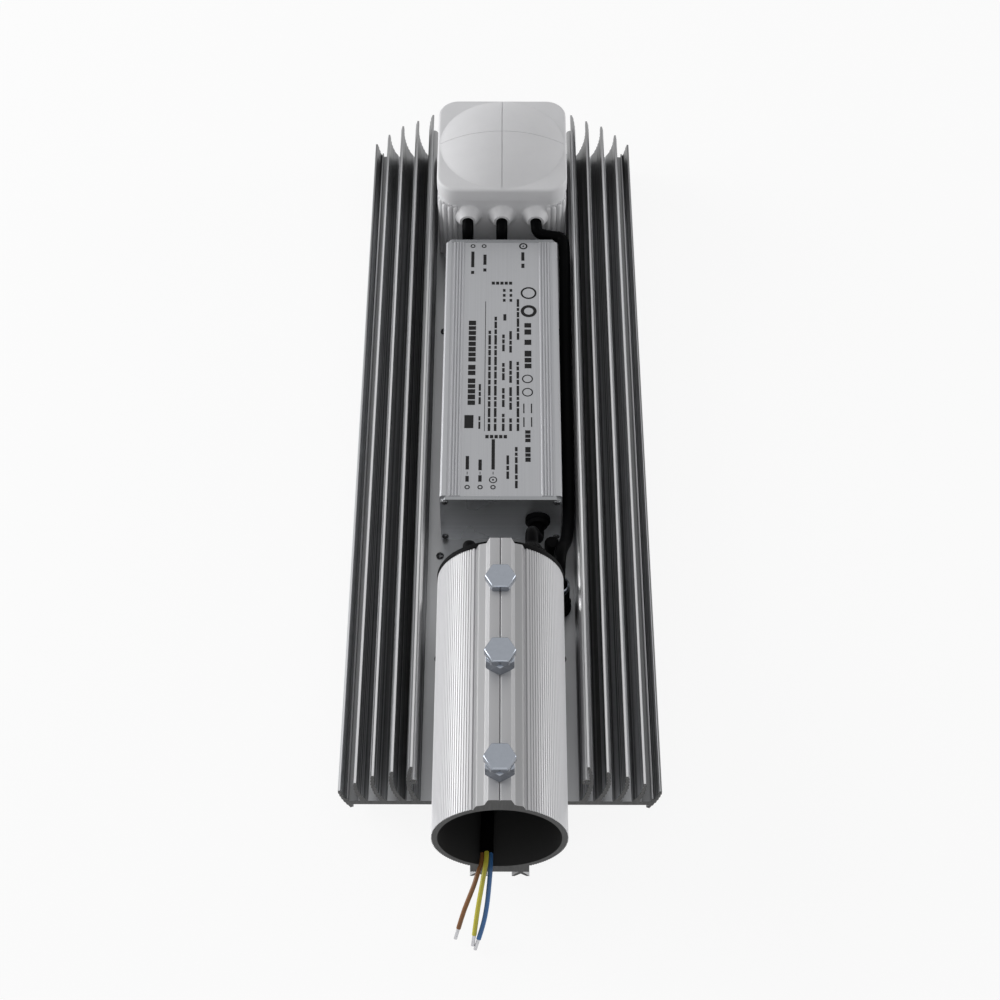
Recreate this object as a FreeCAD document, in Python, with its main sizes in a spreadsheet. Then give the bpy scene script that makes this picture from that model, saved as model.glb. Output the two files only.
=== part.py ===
"""LED street light head with an extruded heat sink, a pole tube, a driver and a control box.

Millimetres, +Z up, +Y from the pole tube towards the far end, +X to the right.
The origin is the middle of the footprint, on the surface that the lenses rest on.
"""
import FreeCAD, Part
import math
import os
import re

from FreeCAD import Placement, Rotation, Vector

document = FreeCAD.newDocument("street_light_head")

# Driving dimensions, in millimetres unless the name says otherwise
SIZES = {
    # Heat sink extrusion
    "sink_margin": 13.7,
    "plate_thickness": 3.8,
    "plate_half_width": 78.4,
    "fin_tip_thickness": 1.1,
    "fin_root_thickness": 2.3,
    "fin_root_bevel": 0.9,
    "tooth_pitch": 3.3,
    "tooth_depth": 0.45,
    "inner_fin_root": 43.2,
    "inner_fin_lean": 1.4,
    "inner_fin_height": 37.0,
    "inner_fin_bulge": 2.7,
    "second_fin_root": 50.4,
    "second_fin_lean": 4.2,
    "second_fin_height": 31.8,
    "second_fin_bulge": 2.6,
    "third_fin_root": 60.4,
    "third_fin_lean": 4.2,
    "third_fin_height": 27.2,
    "third_fin_bulge": 2.1,
    "fourth_fin_root": 70.3,
    "fourth_fin_lean": 3.7,
    "fourth_fin_height": 19.6,
    "fourth_fin_bulge": 1.4,
    "skirt_lean": 5.1,
    "skirt_height": 11.2,
    "skirt_drop": 3.0,
    "skirt_bulge": 1.1,
    "skirt_thickness": 1.5,
    "edge_rib_width": 0.9,
    "edge_rib_height": 2.9,
    "screw_port_height": 21.0,
    "screw_port_inset": 2.1,
    "screw_port_radius": 2.6,
    "screw_port_bore": 1.4,
    # Pole tube
    "tube_overhang": 42.0,
    "tube_length": 151.0,
    "tube_axis_height": 42.0,
    "tube_bore": 30.5,
    "tube_wall": 3.1,
    "ridge_top_half": 5.6,
    "ridge_base_half": 7.3,
    "ridge_rise": 6.9,
    "shoulder_rise": 1.9,
    "shoulder_fall": 1.3,
    "shoulder_half": 11.2,
    "shoulder_foot": 1.2,
    "ridge_groove": 0.5,
    "pad_half": 14.8,
    "pad_drop": 3.4,
    "foot_offset": 10.6,
    "foot_spread": 3.0,
    "foot_arm": 1.6,
    "foot_stem": 2.2,
    "tube_screw_inset": 15.0,
    "tube_screw_radius": 2.0,
    "tube_screw_grip": 6.0,
    # Clamp bolts
    "bolt_first": 17.4,
    "bolt_second": 76.3,
    "bolt_third_inset": 26.2,
    "bolt_radius": 5.0,
    "bolt_length": 44.0,
    "hex_across_flats": 14.2,
    "head_height": 4.6,
    "nut_height": 7.3,
    "thread_clearance": 0.1,
    # Tube end cap with its cable gland and plug
    "cap_rim": 0.9,
    "cap_thickness": 3.0,
    "cap_spigot": 5.0,
    "cap_fit": 0.2,
    "gland_side": 16.5,
    "gland_rise": 19.0,
    "gland_thread": 5.6,
    "cap_gland_thread": 4.9,
    "gland_flange_radius": 8.0,
    "gland_flange_height": 3.0,
    "gland_cone_height": 8.5,
    "gland_cone_base": 6.9,
    "gland_cone_tip": 4.9,
    "cap_plug_radius": 3.4,
    "cap_plug_height": 5.5,
    # Mains lead and its cores
    "lead_radius": 3.5,
    "core_radius": 1.2,
    "core_tip_radius": 0.8,
    "core_tip_length": 6.0,
    "lead_end_side": -6.5,
    "lead_end_inset": 5.0,
    "lead_lift": 0.3,
    "cable_clearance": 0.6,
    # Driver
    "driver_gap": 57.0,
    "driver_length": 198.0,
    "driver_width": 68.0,
    "driver_height": 38.2,
    "driver_edge": 1.0,
    "driver_rib_pitch": 1.7,
    "driver_rib_depth": 0.5,
    "driver_rib_edge": 4.6,
    "driver_shelf": 3.4,
    "end_plate_thickness": 2.5,
    "end_plate_inset": 0.4,
    "end_plate_corner": 2.6,
    "bush_wall": 1.2,
    "bush_length": 2.0,
    "driver_gland_side": 20.7,
    "driver_gland_height": 19.5,
    "driver_gland_radius": 7.0,
    "driver_gland_length": 5.0,
    # Control box
    "box_gap": 18.3,
    "box_side": 80.0,
    "box_corner": 11.0,
    "box_height": 52.5,
    "box_inset": 1.2,
    "lid_height": 9.5,
    "dome_radius": 38.6,
    "dome_rise": 11.0,
    "box_rib_radius": 1.2,
    "box_rib_pitch": 3.3,
    "box_rib_edge": 3.4,
    "outlet_spacing": 21.0,
    "outlet_height": 38.8,
    "outlet_base": 9.5,
    "outlet_tip": 5.0,
    "outlet_reach": 5.5,
    "outlet_hold": 2.0,
    # Cable along the driver, its gland and the sealing plug
    "side_gland_side": 31.6,
    "side_gland_gap": 10.5,
    "side_gland_flange": 7.6,
    "side_gland_flange_height": 7.0,
    "side_gland_body": 6.4,
    "side_gland_body_height": 12.5,
    "side_gland_nut": 6.1,
    "side_gland_nut_height": 4.5,
    "plug_side": 28.3,
    "plug_gap": 38.5,
    "plug_radius": 4.0,
    "plug_height": 24.0,
    "plug_foot_radius": 6.0,
    "plug_foot_height": 3.0,
    # Light modules under the plate
    "module_gap": 1.0,
    "module_width": 146.0,
    "module_margin": 10.0,
    "module_corner": 6.0,
    "board_margin": 6.0,
    "board_thickness": 1.6,
    "lens_flange": 3.0,
    "lens_rise": 4.0,
    "lens_radius": 9.0,
    "lens_crown": 5.0,
    "chip_side": 5.0,
    "chip_height": 0.8,
    "lens_rows": 4,
    "lens_columns": 3,
    "lens_row_pitch": 33.0,
    "lens_column_pitch": 40.0,
    # Clearance round a screw and between seated parts
    "hole_clearance": 0.15,
}

sheet = document.addObject("Spreadsheet::Sheet", "Sizes")
for row, (alias, number) in enumerate(SIZES.items(), start=1):
    sheet.set("A%d" % row, alias)
    sheet.set("B%d" % row, str(number))
    sheet.setAlias("B%d" % row, alias)
document.recompute()


def size(alias):
    """The value of one cell of the sheet."""
    return float(sheet.get(alias))


# Levels and places that follow from the driving dimensions
MODULE_DEPTH = size("board_thickness") + size("lens_flange") + size("lens_rise")
PLATE_TOP = MODULE_DEPTH + size("plate_thickness")
TUBE_END = size("tube_length") - size("tube_overhang")
DRIVER_START = TUBE_END + size("driver_gap")
DRIVER_END = DRIVER_START + size("driver_length")
BOX_START = DRIVER_END + size("box_gap")
SINK_LENGTH = BOX_START + size("box_side") + size("sink_margin")
SINK_RUN = ("tube_length - tube_overhang + driver_gap + driver_length + box_gap + box_side"
            " + sink_margin")
SINK_START = size("tube_overhang") / 2 - SINK_LENGTH / 2
SINK_MIDDLE = SINK_LENGTH / 2
TUBE_RADIUS = size("tube_bore") + size("tube_wall")
RIDGE_TOP = TUBE_RADIUS + size("ridge_rise")
PAD_LEVEL = size("tube_axis_height") - TUBE_RADIUS - size("pad_drop")
FIN_NAMES = ("inner_fin", "second_fin", "third_fin", "fourth_fin")
MODULE_LENGTH = (SINK_LENGTH - 2 * size("module_margin")) / 3 - size("module_gap")
MODULE_PITCH = MODULE_LENGTH + size("module_gap")
parts = {}


def seat(x=0.0, y=0.0, z=0.0, turn=None):
    """A placement given from the heat sink's near end, on the centre line and the plate's top."""
    return Placement(Vector(x, SINK_START + y, PLATE_TOP + z), turn or Rotation())


def keep(item, label, placement=None):
    """Names a finished sub-part, places it and keeps it for export."""
    item.Label = label
    if placement is not None:
        item.Placement = placement
    parts[label] = item
    return item


def bind(item, **expressions):
    """Binds the sizes of a feature to cells of the sheet."""
    for name, expression in expressions.items():
        item.setExpression(name, expression)
    return item


def sizes(expression):
    """Turns a short expression on cell names into one that the features can read."""
    return re.sub(r"[a-z_]{3,}", lambda found: "Sizes." + found.group(), expression)


# Sketches and features of solid bodies
PLANES = {"top": "XY_Plane", "front": "XZ_Plane", "side": "YZ_Plane"}


def new_body(name):
    return document.addObject("PartDesign::Body", name + "_body")


def sketch(body, plane, edges, offset=Vector(0, 0, 0), turn=None):
    """A sketch on one of the body's own origin planes."""
    item = body.newObject("Sketcher::SketchObject", body.Name + "_sketch")
    roles = [face for face in body.Origin.OriginFeatures if face.Role == PLANES[plane]]
    item.AttachmentSupport = (roles[0], [""])
    item.MapMode = "FlatFace"
    item.AttachmentOffset = Placement(offset, turn or Rotation())
    item.addGeometry(edges, False)
    return item


def pad(body, profile, length, backwards=False):
    item = body.newObject("PartDesign::Pad", body.Name + "_pad")
    item.Profile = profile
    item.Reversed = backwards
    item.setExpression("Length", sizes(length))
    document.recompute()
    return item


def pocket(body, profile, length=None, both_ways=False, backwards=False):
    """Cuts a sketch into a body, through all of it where no length is given."""
    item = body.newObject("PartDesign::Pocket", body.Name + "_pocket")
    item.Profile = profile
    item.Reversed = backwards
    if length is None:
        item.Type = "ThroughAll"
        item.Midplane = both_ways
    else:
        item.setExpression("Length", sizes(length))
    before = body.Shape.Volume
    document.recompute()
    if body.Shape.Volume >= before - 1e-6:
        raise RuntimeError("nothing was cut from " + body.Name)
    return item


def loop_of(points):
    """Straight edges round a closed outline given as pairs."""
    corners = [Vector(a, b, 0) for a, b in points]
    return [Part.LineSegment(p, q) for p, q in zip(corners, corners[1:] + corners[:1])]


def circle(x, y, radius):
    return Part.Circle(Vector(x, y, 0), Vector(0, 0, 1), radius)


def rounded_rectangle(half_x, half_y, radius, x=0.0, y=0.0):
    """Edges of a rectangle with round corners about a centre."""
    edges = []
    corners = ((1, 1, 0), (-1, 1, 90), (-1, -1, 180), (1, -1, 270))
    ends = []
    for side, rise, start in corners:
        centre = Vector(x + side * (half_x - radius), y + rise * (half_y - radius), 0)
        first, last = math.radians(start), math.radians(start + 90)
        round_edge = Part.Circle(centre, Vector(0, 0, 1), radius)
        edges.append(Part.ArcOfCircle(round_edge, first, last))
        ends.append((centre + Vector(math.cos(first), math.sin(first), 0) * radius,
                     centre + Vector(math.cos(last), math.sin(last), 0) * radius))
    for (_, here), (there, _) in zip(ends, ends[1:] + ends[:1]):
        edges.append(Part.LineSegment(here, there))
    return edges


def mirrored(points):
    """A right-hand half outline, from the centre line round to it again, with its left half."""
    left = [(-x, z) for x, z in reversed(points) if abs(x) > 1e-9]
    return list(points) + left


# Plain solids, bound to the sheet
def cylinder(name, radius, height, placement):
    item = document.addObject("Part::Cylinder", name)
    bind(item, Radius=sizes(radius), Height=sizes(height))
    item.Placement = placement
    return item


def cone(name, low, high, height, placement):
    item = document.addObject("Part::Cone", name)
    bind(item, Radius1=sizes(low), Radius2=sizes(high), Height=sizes(height))
    item.Placement = placement
    return item


def box(name, length, width, height, placement):
    item = document.addObject("Part::Box", name)
    bind(item, Length=sizes(length), Width=sizes(width), Height=sizes(height))
    item.Placement = placement
    return item


def hexagon(name, height, placement):
    item = document.addObject("Part::Prism", name)
    item.Polygon = 6
    bind(item, Circumradius=sizes("hex_across_flats / 1.7320508"), Height=sizes(height))
    item.Placement = placement
    return item


def join(name, items):
    item = document.addObject("Part::MultiFuse", name)
    item.Shapes = items
    return item


def cut(name, base, tool):
    item = document.addObject("Part::Cut", name)
    item.Base = base
    item.Tool = tool
    return item


def common(name, base, tool):
    item = document.addObject("Part::Common", name)
    item.Base = base
    item.Tool = tool
    return item


def group(name, shapes):
    """Like pieces that share one file, kept as separate solids."""
    item = document.addObject("Part::Feature", name)
    item.Shape = Part.makeCompound(shapes)
    return item


def at(x, y, z, turn=None):
    return Placement(Vector(x, y, z), turn or Rotation())


TOWARDS_FAR_END = Rotation(Vector(1, 0, 0), -90)
TOWARDS_NEAR_END = Rotation(Vector(1, 0, 0), 90)
SIXTH_OF_TURN = Rotation(Vector(0, 0, 1), 30)


def turned(profile, axis=Vector(0, 0, 1)):
    """A solid of revolution from pairs of radius and height."""
    wire = Part.makePolygon([Vector(r, 0, z) for r, z in profile + profile[:1]])
    return Part.Face(wire).revolve(Vector(0, 0, 0), axis, 360)


# Heat sink
def blade_point(root, tip, bulge, along, offset):
    """A point beside the curved centre line of a fin; offset is positive on the outer side."""
    run, rise = tip[0] - root[0], tip[1] - root[1]
    chord = math.hypot(run, rise)
    out_x, out_z = rise / chord, -run / chord
    swell = 4 * bulge * along * (1 - along)
    slope = 4 * bulge * (1 - 2 * along)
    step_x, step_z = run + slope * out_x, rise + slope * out_z
    step = math.hypot(step_x, step_z)
    x = root[0] + along * run + swell * out_x + offset * step_z / step
    z = root[1] + along * rise + swell * out_z - offset * step_x / step
    return x, z


def blade_face(root, tip, bulge, thick_root, thick_tip, side, start):
    """One serrated face of a fin from its root to its tip, as saw teeth."""
    length = math.hypot(tip[0] - root[0], tip[1] - root[1]) * (1 - start)
    teeth = max(1, round(length / size("tooth_pitch")))
    points = []
    for number in range(teeth):
        for part_way, proud in ((0.0, size("tooth_depth")), (1.0, 0.0)):
            along = start + (1 - start) * (number + part_way) / teeth
            half = (thick_root + (thick_tip - thick_root) * along) / 2
            points.append(blade_point(root, tip, bulge, along, side * (half + proud)))
    return points


def fin_outline(name):
    """The outline of one fin from the plate up its inner face and down its outer face."""
    root = (size(name + "_root"), 0.0)
    tip = (root[0] + size(name + "_lean"), size(name + "_height"))
    thick_root, thick_tip = size("fin_root_thickness"), size("fin_tip_thickness")
    bevel = size("fin_root_bevel")
    start = 2 * bevel / tip[1]
    shape = (root, tip, size(name + "_bulge"), thick_root, thick_tip)
    rising = blade_face(*shape, -1, start)
    falling = blade_face(*shape, 1, start)[::-1]
    half = thick_root / 2
    return ([(root[0] - half - bevel, 0.0)] + rising + [tip] + falling
            + [(root[0] + half + bevel, 0.0)])


def skirt_outline():
    """The outer fin, which runs on below the plate as a lip, from its inner root to the plate."""
    thick = size("skirt_thickness")
    edge = size("plate_half_width")
    low = (edge - size("skirt_drop") / 2, -size("plate_thickness") - size("skirt_drop"))
    tip = (edge + size("skirt_lean") - thick / 2, size("skirt_height"))
    share = -low[1] / (tip[1] - low[1])
    shape = (low, tip, size("skirt_bulge"), thick, size("fin_tip_thickness"))
    inner = blade_face(*shape, -1, share + 0.08)
    outer = blade_face(*shape, 1, 0.0)[::-1]
    under = blade_point(low, tip, size("skirt_bulge"), 0.0, -thick / 2)
    meets = (low[0] + size("skirt_drop") * 0.35, -size("plate_thickness"))
    return inner + [tip] + outer + [under, meets]


def heat_sink_outline():
    points = [(0.0, 0.0)]
    for name in FIN_NAMES:
        points += fin_outline(name)
    edge, rib = size("plate_half_width"), size("edge_rib_height")
    points += [(edge, 0.0), (edge + 0.1, rib), (edge + size("edge_rib_width"), rib)]
    points += skirt_outline()
    points.append((0.0, -size("plate_thickness")))
    return mirrored(points)


def screw_port_places():
    """Centres of the two screw ports on the inner fins."""
    name = "inner_fin"
    tip = (size(name + "_root") + size(name + "_lean"), size(name + "_height"))
    along = size("screw_port_height") / size(name + "_height")
    x, z = blade_point((size(name + "_root"), 0.0), tip, size(name + "_bulge"), along, 0.0)
    return [(side * (x - size("screw_port_inset")), z) for side in (-1, 1)]


def tube_screw_places():
    """Two screws on the centre line, one near each end of the stretch that lies on the plate."""
    inset = size("tube_screw_inset")
    return [(0.0, inset), (0.0, TUBE_END - inset)]


def heat_sink():
    body = new_body("heat_sink")
    pad(body, sketch(body, "front", loop_of(heat_sink_outline())), SINK_RUN, True)
    ports = [circle(x, z, size("screw_port_radius")) for x, z in screw_port_places()]
    pad(body, sketch(body, "front", ports), SINK_RUN, True)
    bores = [circle(x, z, size("screw_port_bore")) for x, z in screw_port_places()]
    pocket(body, sketch(body, "front", bores), both_ways=True)
    loose = size("hole_clearance")
    holes = [circle(x, y, size("tube_screw_radius") + loose) for x, y in tube_screw_places()]
    gland, plug = side_gland_place(), plug_place()
    holes.append(circle(gland[0], gland[1], size("gland_thread") + loose))
    holes.append(circle(plug[0], plug[1], size("plug_radius") + loose))
    pocket(body, sketch(body, "top", holes), "plate_thickness + 1")
    sunk = [circle(x, y, 2 * size("tube_screw_radius") + loose) for x, y in tube_screw_places()]
    under = sketch(body, "top", sunk, Vector(0, 0, -size("plate_thickness")))
    pocket(body, under, "plate_thickness / 2", backwards=True)
    keep(body, "heat_sink", seat())


# Pole tube and what clamps it
def tube_outline():
    """Outer outline of the tube's right half about its axis, from the ridge down to the feet."""
    radius = TUBE_RADIUS
    shoulder = radius + size("shoulder_rise")
    outer = size("shoulder_half")
    foot = outer + size("shoulder_foot")
    base = -radius - size("pad_drop")
    floor = -size("tube_axis_height")
    centre, stem = size("foot_offset"), size("foot_stem") / 2
    spread, arm = size("foot_spread"), size("foot_arm")
    points = [(size("ridge_groove"), RIDGE_TOP), (size("ridge_top_half"), RIDGE_TOP)]
    points += [(size("ridge_base_half"), shoulder), (outer, shoulder - size("shoulder_fall"))]
    points.append((foot, math.sqrt(radius ** 2 - foot ** 2)))
    start = math.asin(math.sqrt(radius ** 2 - foot ** 2) / radius)
    end = -math.acos(size("pad_half") / radius)
    arc = (start, end)
    after = [(size("pad_half"), -math.sqrt(radius ** 2 - size("pad_half") ** 2))]
    after.append((size("pad_half"), base))
    after += [(centre + stem, base), (centre + stem, base - 0.6)]
    after += [(centre + spread + arm, floor), (centre + spread, floor)]
    after += [(centre, base - 2.2), (centre - spread, floor), (centre - spread - arm, floor)]
    after += [(centre - stem, base - 0.6), (centre - stem, base)]
    return points, arc, after


def tube_edges():
    """The closed outline of the tube as lines and two large arcs."""
    before, (start, end), after = tube_outline()
    round_edge = Part.Circle(Vector(0, 0, 0), Vector(0, 0, 1), TUBE_RADIUS)
    edges = []
    for side in (1, -1):
        for points in (before, after):
            corners = [Vector(side * x, z, 0) for x, z in points]
            edges += [Part.LineSegment(p, q) for p, q in zip(corners, corners[1:])]
    edges.append(Part.ArcOfCircle(round_edge, end, start))
    edges.append(Part.ArcOfCircle(round_edge, math.pi - start, math.pi - end))
    groove = size("ridge_groove")
    valley = Vector(0, RIDGE_TOP - 2 * groove, 0)
    for side in (1, -1):
        edges.append(Part.LineSegment(Vector(side * groove, RIDGE_TOP, 0), valley))
    inner = after[-1]
    edges.append(Part.LineSegment(Vector(inner[0], inner[1], 0), Vector(-inner[0], inner[1], 0)))
    return edges


def bolt_places():
    """The bolts along the tube: two measured from its mouth and one from its far end."""
    mouth = -size("tube_overhang")
    return [mouth + size("bolt_first"), mouth + size("bolt_second"), TUBE_END - size("bolt_third_inset")]


def spigot_tube():
    body = new_body("spigot_tube")
    pad(body, sketch(body, "front", tube_edges()), "tube_length", True)
    bore = [circle(0, 0, size("tube_bore"))]
    pocket(body, sketch(body, "front", bore), both_ways=True)
    loose = size("thread_clearance")
    overhang = size("tube_overhang")
    holes = [circle(0, y + overhang, size("bolt_radius") + loose) for y in bolt_places()]
    pocket(body, sketch(body, "top", holes), backwards=True)
    screws = [circle(x, y + overhang, size("tube_screw_radius") + loose)
              for x, y in tube_screw_places()]
    floor = Vector(0, 0, -size("tube_axis_height"))
    reach = "tube_axis_height - tube_bore - tube_wall + tube_screw_grip - pad_drop"
    pocket(body, sketch(body, "top", screws, floor), reach, backwards=True)
    keep(body, "spigot_tube", seat(0, -overhang, size("tube_axis_height")))


def clamp_bolts():
    """Three hexagon bolts through the ridge; the two nearer the mouth carry a lock nut."""
    ridge = size("tube_axis_height") + RIDGE_TOP
    for number, y in enumerate(bolt_places(), start=1):
        name = "clamp_bolt_%d" % number
        head = hexagon(name + "_head", "head_height", at(0, 0, 0))
        shank = cylinder(name + "_shank", "bolt_radius", "bolt_length", at(0, 0, -size("bolt_length")))
        lift = size("nut_height") if number < 3 else 0.0
        keep(join(name, [head, shank]), name, seat(0, y, ridge + lift))
        if number < 3:
            nut = "lock_nut_%d" % number
            blank = hexagon(nut + "_blank", "nut_height", at(0, 0, 0))
            hole = cylinder(nut + "_hole", "bolt_radius + thread_clearance", "nut_height",
                            at(0, 0, 0))
            keep(cut(nut, blank, hole), nut, seat(0, y, ridge, SIXTH_OF_TURN))


def tube_mount_screws():
    """Flat-headed screws from below, through the plate into the tube's pad."""
    thread, sunk = size("tube_screw_radius"), size("plate_thickness") / 2
    length = size("plate_thickness") + PAD_LEVEL + size("tube_screw_grip") - 0.5
    screws = []
    for x, y in tube_screw_places():
        start = Vector(x, y, -size("plate_thickness"))
        screw = Part.makeCylinder(2 * thread, sunk, start).fuse(Part.makeCylinder(thread, length, start))
        screws.append(screw.removeSplitter())
    keep(group("tube_mount_screws", screws), "tube_mount_screws", seat())


def tube_end_cap():
    """A disc over the tube's far end, with a spigot in the bore and holes for gland and plug."""
    disc = cylinder("cap_disc", "tube_bore + tube_wall + cap_rim", "cap_thickness",
                    at(0, 0, 0, TOWARDS_FAR_END))
    spigot = cylinder("cap_spigot_solid", "tube_bore - cap_fit", "cap_spigot",
                      at(0, 0, 0, TOWARDS_NEAR_END))
    solid = join("cap_solid", [disc, spigot])
    depth, back = "cap_thickness + cap_spigot", -size("cap_spigot")
    gland = cylinder("cap_gland_hole", "cap_gland_thread + thread_clearance", depth,
                     at(size("gland_side"), back, size("gland_rise"), TOWARDS_FAR_END))
    plug = cylinder("cap_plug_hole", "cap_plug_radius / 2 + thread_clearance", depth,
                    at(-size("gland_side"), back, size("gland_rise"), TOWARDS_FAR_END))
    cap = cut("tube_end_cap", solid, join("cap_holes", [gland, plug]))
    keep(cap, "tube_end_cap", seat(0, TUBE_END, size("tube_axis_height")))


def cap_fittings():
    """The gland that the mains lead passes through, and a plug in the cap's spare hole."""
    axis = size("tube_axis_height") + size("gland_rise")
    outside = TUBE_END + size("cap_thickness")
    bore, reach = size("lead_radius"), size("cap_thickness") + size("cap_spigot")
    flange = document.addObject("Part::Prism", "cap_gland_flange")
    flange.Polygon = 6
    bind(flange, Circumradius=sizes("gland_flange_radius"), Height=sizes("gland_flange_height"))
    low, height = size("gland_flange_height"), size("gland_cone_height")
    sleeve = document.addObject("Part::Feature", "cap_gland_sleeve")
    thread = size("cap_gland_thread")
    sleeve.Shape = turned([(0, -reach), (thread, -reach), (thread, low), (size("gland_cone_base"), low),
                           (size("gland_cone_tip"), low + height), (0, low + height)])
    passage = document.addObject("Part::Feature", "cap_gland_passage")
    passage.Shape = Part.makeCylinder(bore, reach + low + height + 2, Vector(0, 0, -reach - 1))
    gland = cut("cap_gland", join("cap_gland_solid", [flange, sleeve]), passage)
    keep(gland, "cap_gland", seat(size("gland_side"), outside, axis, TOWARDS_FAR_END))
    radius, height = size("cap_plug_radius"), size("cap_plug_height")
    profile = [(0, -reach), (radius / 2, -reach), (radius / 2, 0), (radius, 0)]
    profile += [(radius * 0.8, height), (0, height)]
    plug = document.addObject("Part::Feature", "cap_plug")
    plug.Shape = turned(profile)
    keep(plug, "cap_plug", seat(-size("gland_side"), outside, axis, TOWARDS_FAR_END))


# Driver
def driver_outline():
    """Outline of the driver's extrusion, with ribs along both sides of its top."""
    half, top = size("driver_width") / 2, size("driver_height")
    depth, pitch = size("driver_rib_depth"), size("driver_rib_pitch")
    points = [(0.0, top - depth)]
    ribs_start = half - size("driver_rib_edge") - 4 * pitch
    for number in range(4):
        x = ribs_start + number * pitch
        points += [(x, top - depth), (x + 0.25 * pitch, top)]
        points += [(x + 0.65 * pitch, top), (x + 0.9 * pitch, top - depth)]
    shelf = half - size("driver_shelf")
    points += [(shelf, top - depth), (shelf, top)]
    points += [(half - size("driver_edge"), top), (half, top - size("driver_edge"))]
    points += [(half, 0.0), (0.0, 0.0)]
    return mirrored(points)


def case_start():
    return DRIVER_START + size("end_plate_thickness")


def driver_case():
    """The closed case, filled with its potted electronics, between two end plates."""
    body = new_body("driver_case")
    pad(body, sketch(body, "front", loop_of(driver_outline())),
        "driver_length - 2 * end_plate_thickness", True)
    keep(body, "driver_case", seat(0, case_start()))


def driver_plate(label, bush_places, far):
    """A flat end plate, cut back at its upper corners, with a hole for each cable's bush."""
    body = new_body(label)
    half = size("driver_width") / 2 - size("end_plate_inset")
    top = size("driver_height") - size("end_plate_inset")
    corner = size("end_plate_corner")
    outline = [(-half, 0.0), (half, 0.0), (half, top - corner), (half - corner, top),
               (corner - half, top), (-half, top - corner)]
    pad(body, sketch(body, "front", loop_of(outline)), "end_plate_thickness", True)
    rounds = [circle(x, z, size("lead_radius") + size("bush_wall")) for x, z in bush_places]
    pocket(body, sketch(body, "front", rounds), both_ways=True)
    y = DRIVER_START
    if far:
        y += size("driver_length") - size("end_plate_thickness")
    keep(body, label, seat(0, y))


def driver_gland_place():
    return size("driver_gland_side"), size("driver_gland_height")


def output_bush_places():
    """The two cables from the control box enter the driver's far end."""
    spacing = size("outlet_spacing")
    return [(-spacing, size("driver_gland_height")), (0.0, size("driver_gland_height"))]


def bush(radius, length, x, z, far):
    """A rubber bush in an end plate, round the cable that passes through it."""
    bore = size("lead_radius")
    neck, inside = bore + size("bush_wall"), size("end_plate_thickness")
    profile = [(bore, -inside), (neck, -inside), (neck, 0), (radius, 0), (radius, length), (bore, length)]
    item = turned(profile)
    y, turn = DRIVER_START, TOWARDS_NEAR_END
    if far:
        y, turn = y + size("driver_length"), TOWARDS_FAR_END
    item.Placement = at(x, y, z, turn)
    return item


def driver():
    driver_case()
    driver_plate("driver_input_plate", [driver_gland_place()], False)
    driver_plate("driver_output_plate", output_bush_places(), True)
    x, z = driver_gland_place()
    bushes = [bush(size("driver_gland_radius"), size("driver_gland_length"), x, z, False)]
    collar = size("lead_radius") + 2 * size("bush_wall")
    for x, z in output_bush_places():
        bushes.append(bush(collar, size("bush_length"), x, z, True))
    keep(group("driver_bushes", bushes), "driver_bushes", seat())


# Control box
def box_middle():
    return BOX_START + size("box_side") / 2


def outlet_places():
    spacing = size("outlet_spacing")
    return [(side * spacing, size("outlet_height")) for side in (-1, 0, 1)]


def control_box():
    """The closed body of the box, with ribs at its near corners and three cable outlets."""
    body = new_body("control_box")
    half, corner = size("box_side") / 2 - size("box_inset"), size("box_corner")
    pad(body, sketch(body, "top", rounded_rectangle(half, half, corner)), "box_height")
    ribs = []
    radius = size("box_rib_radius")
    for side in (-1, 1):
        for number in range(3):
            x = half - size("box_rib_edge") - number * size("box_rib_pitch")
            over = max(0.0, x - (half - corner))
            y = -half + corner - math.sqrt(corner ** 2 - over ** 2)
            ribs.append(loop_of([(side * (x - radius), y - radius / 2), (side * (x + radius), y - radius / 2),
                                 (side * (x + radius), y + 2 * radius), (side * (x - radius), y + 2 * radius)]))
    edges = [edge for rib in ribs for edge in rib]
    pad(body, sketch(body, "top", edges), "box_height - lid_height / 2")
    cones, leads = [], []
    for number, (x, z) in enumerate(outlet_places(), start=1):
        cones.append(cone("outlet_cone_%d" % number, "outlet_base", "outlet_tip", "outlet_reach + 1",
                          at(x, 1 - half, z, TOWARDS_NEAR_END)))
        leads.append(cylinder("outlet_bore_%d" % number, "lead_radius", "outlet_reach + outlet_hold",
                              at(x, size("outlet_hold") - half, z, TOWARDS_NEAR_END)))
    solid = join("control_box_solid", [body] + cones)
    keep(cut("control_box", solid, join("outlet_bores", leads)), "control_box", seat(0, box_middle()))


def control_box_lid():
    """The lid, a square cap with round corners that carries a low dome."""
    body = new_body("lid")
    half, corner = size("box_side") / 2, size("box_corner")
    pad(body, sketch(body, "top", rounded_rectangle(half, half, corner)), "lid_height")
    radius, rise = size("dome_radius"), size("dome_rise")
    ball = (radius ** 2 + rise ** 2) / (2 * rise)
    steps = 6
    spread = math.asin(radius / ball)
    profile = [(0, -1), (radius, -1)]
    for number in range(steps + 1):
        angle = spread * (1 - number / steps)
        profile.append((ball * math.sin(angle), ball * math.cos(angle) - ball + rise))
    dome = document.addObject("Part::Feature", "dome")
    dome.Shape = turned(profile)
    dome.Placement = at(0, 0, size("lid_height"))
    keep(join("control_box_lid", [body, dome]), "control_box_lid",
         seat(0, box_middle(), size("box_height")))


# Cable entry through the plate, and the sealing plug beside it
def side_gland_place():
    return size("side_gland_side"), TUBE_END + size("side_gland_gap")


def plug_place():
    return size("plug_side"), TUBE_END + size("plug_gap")


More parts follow.
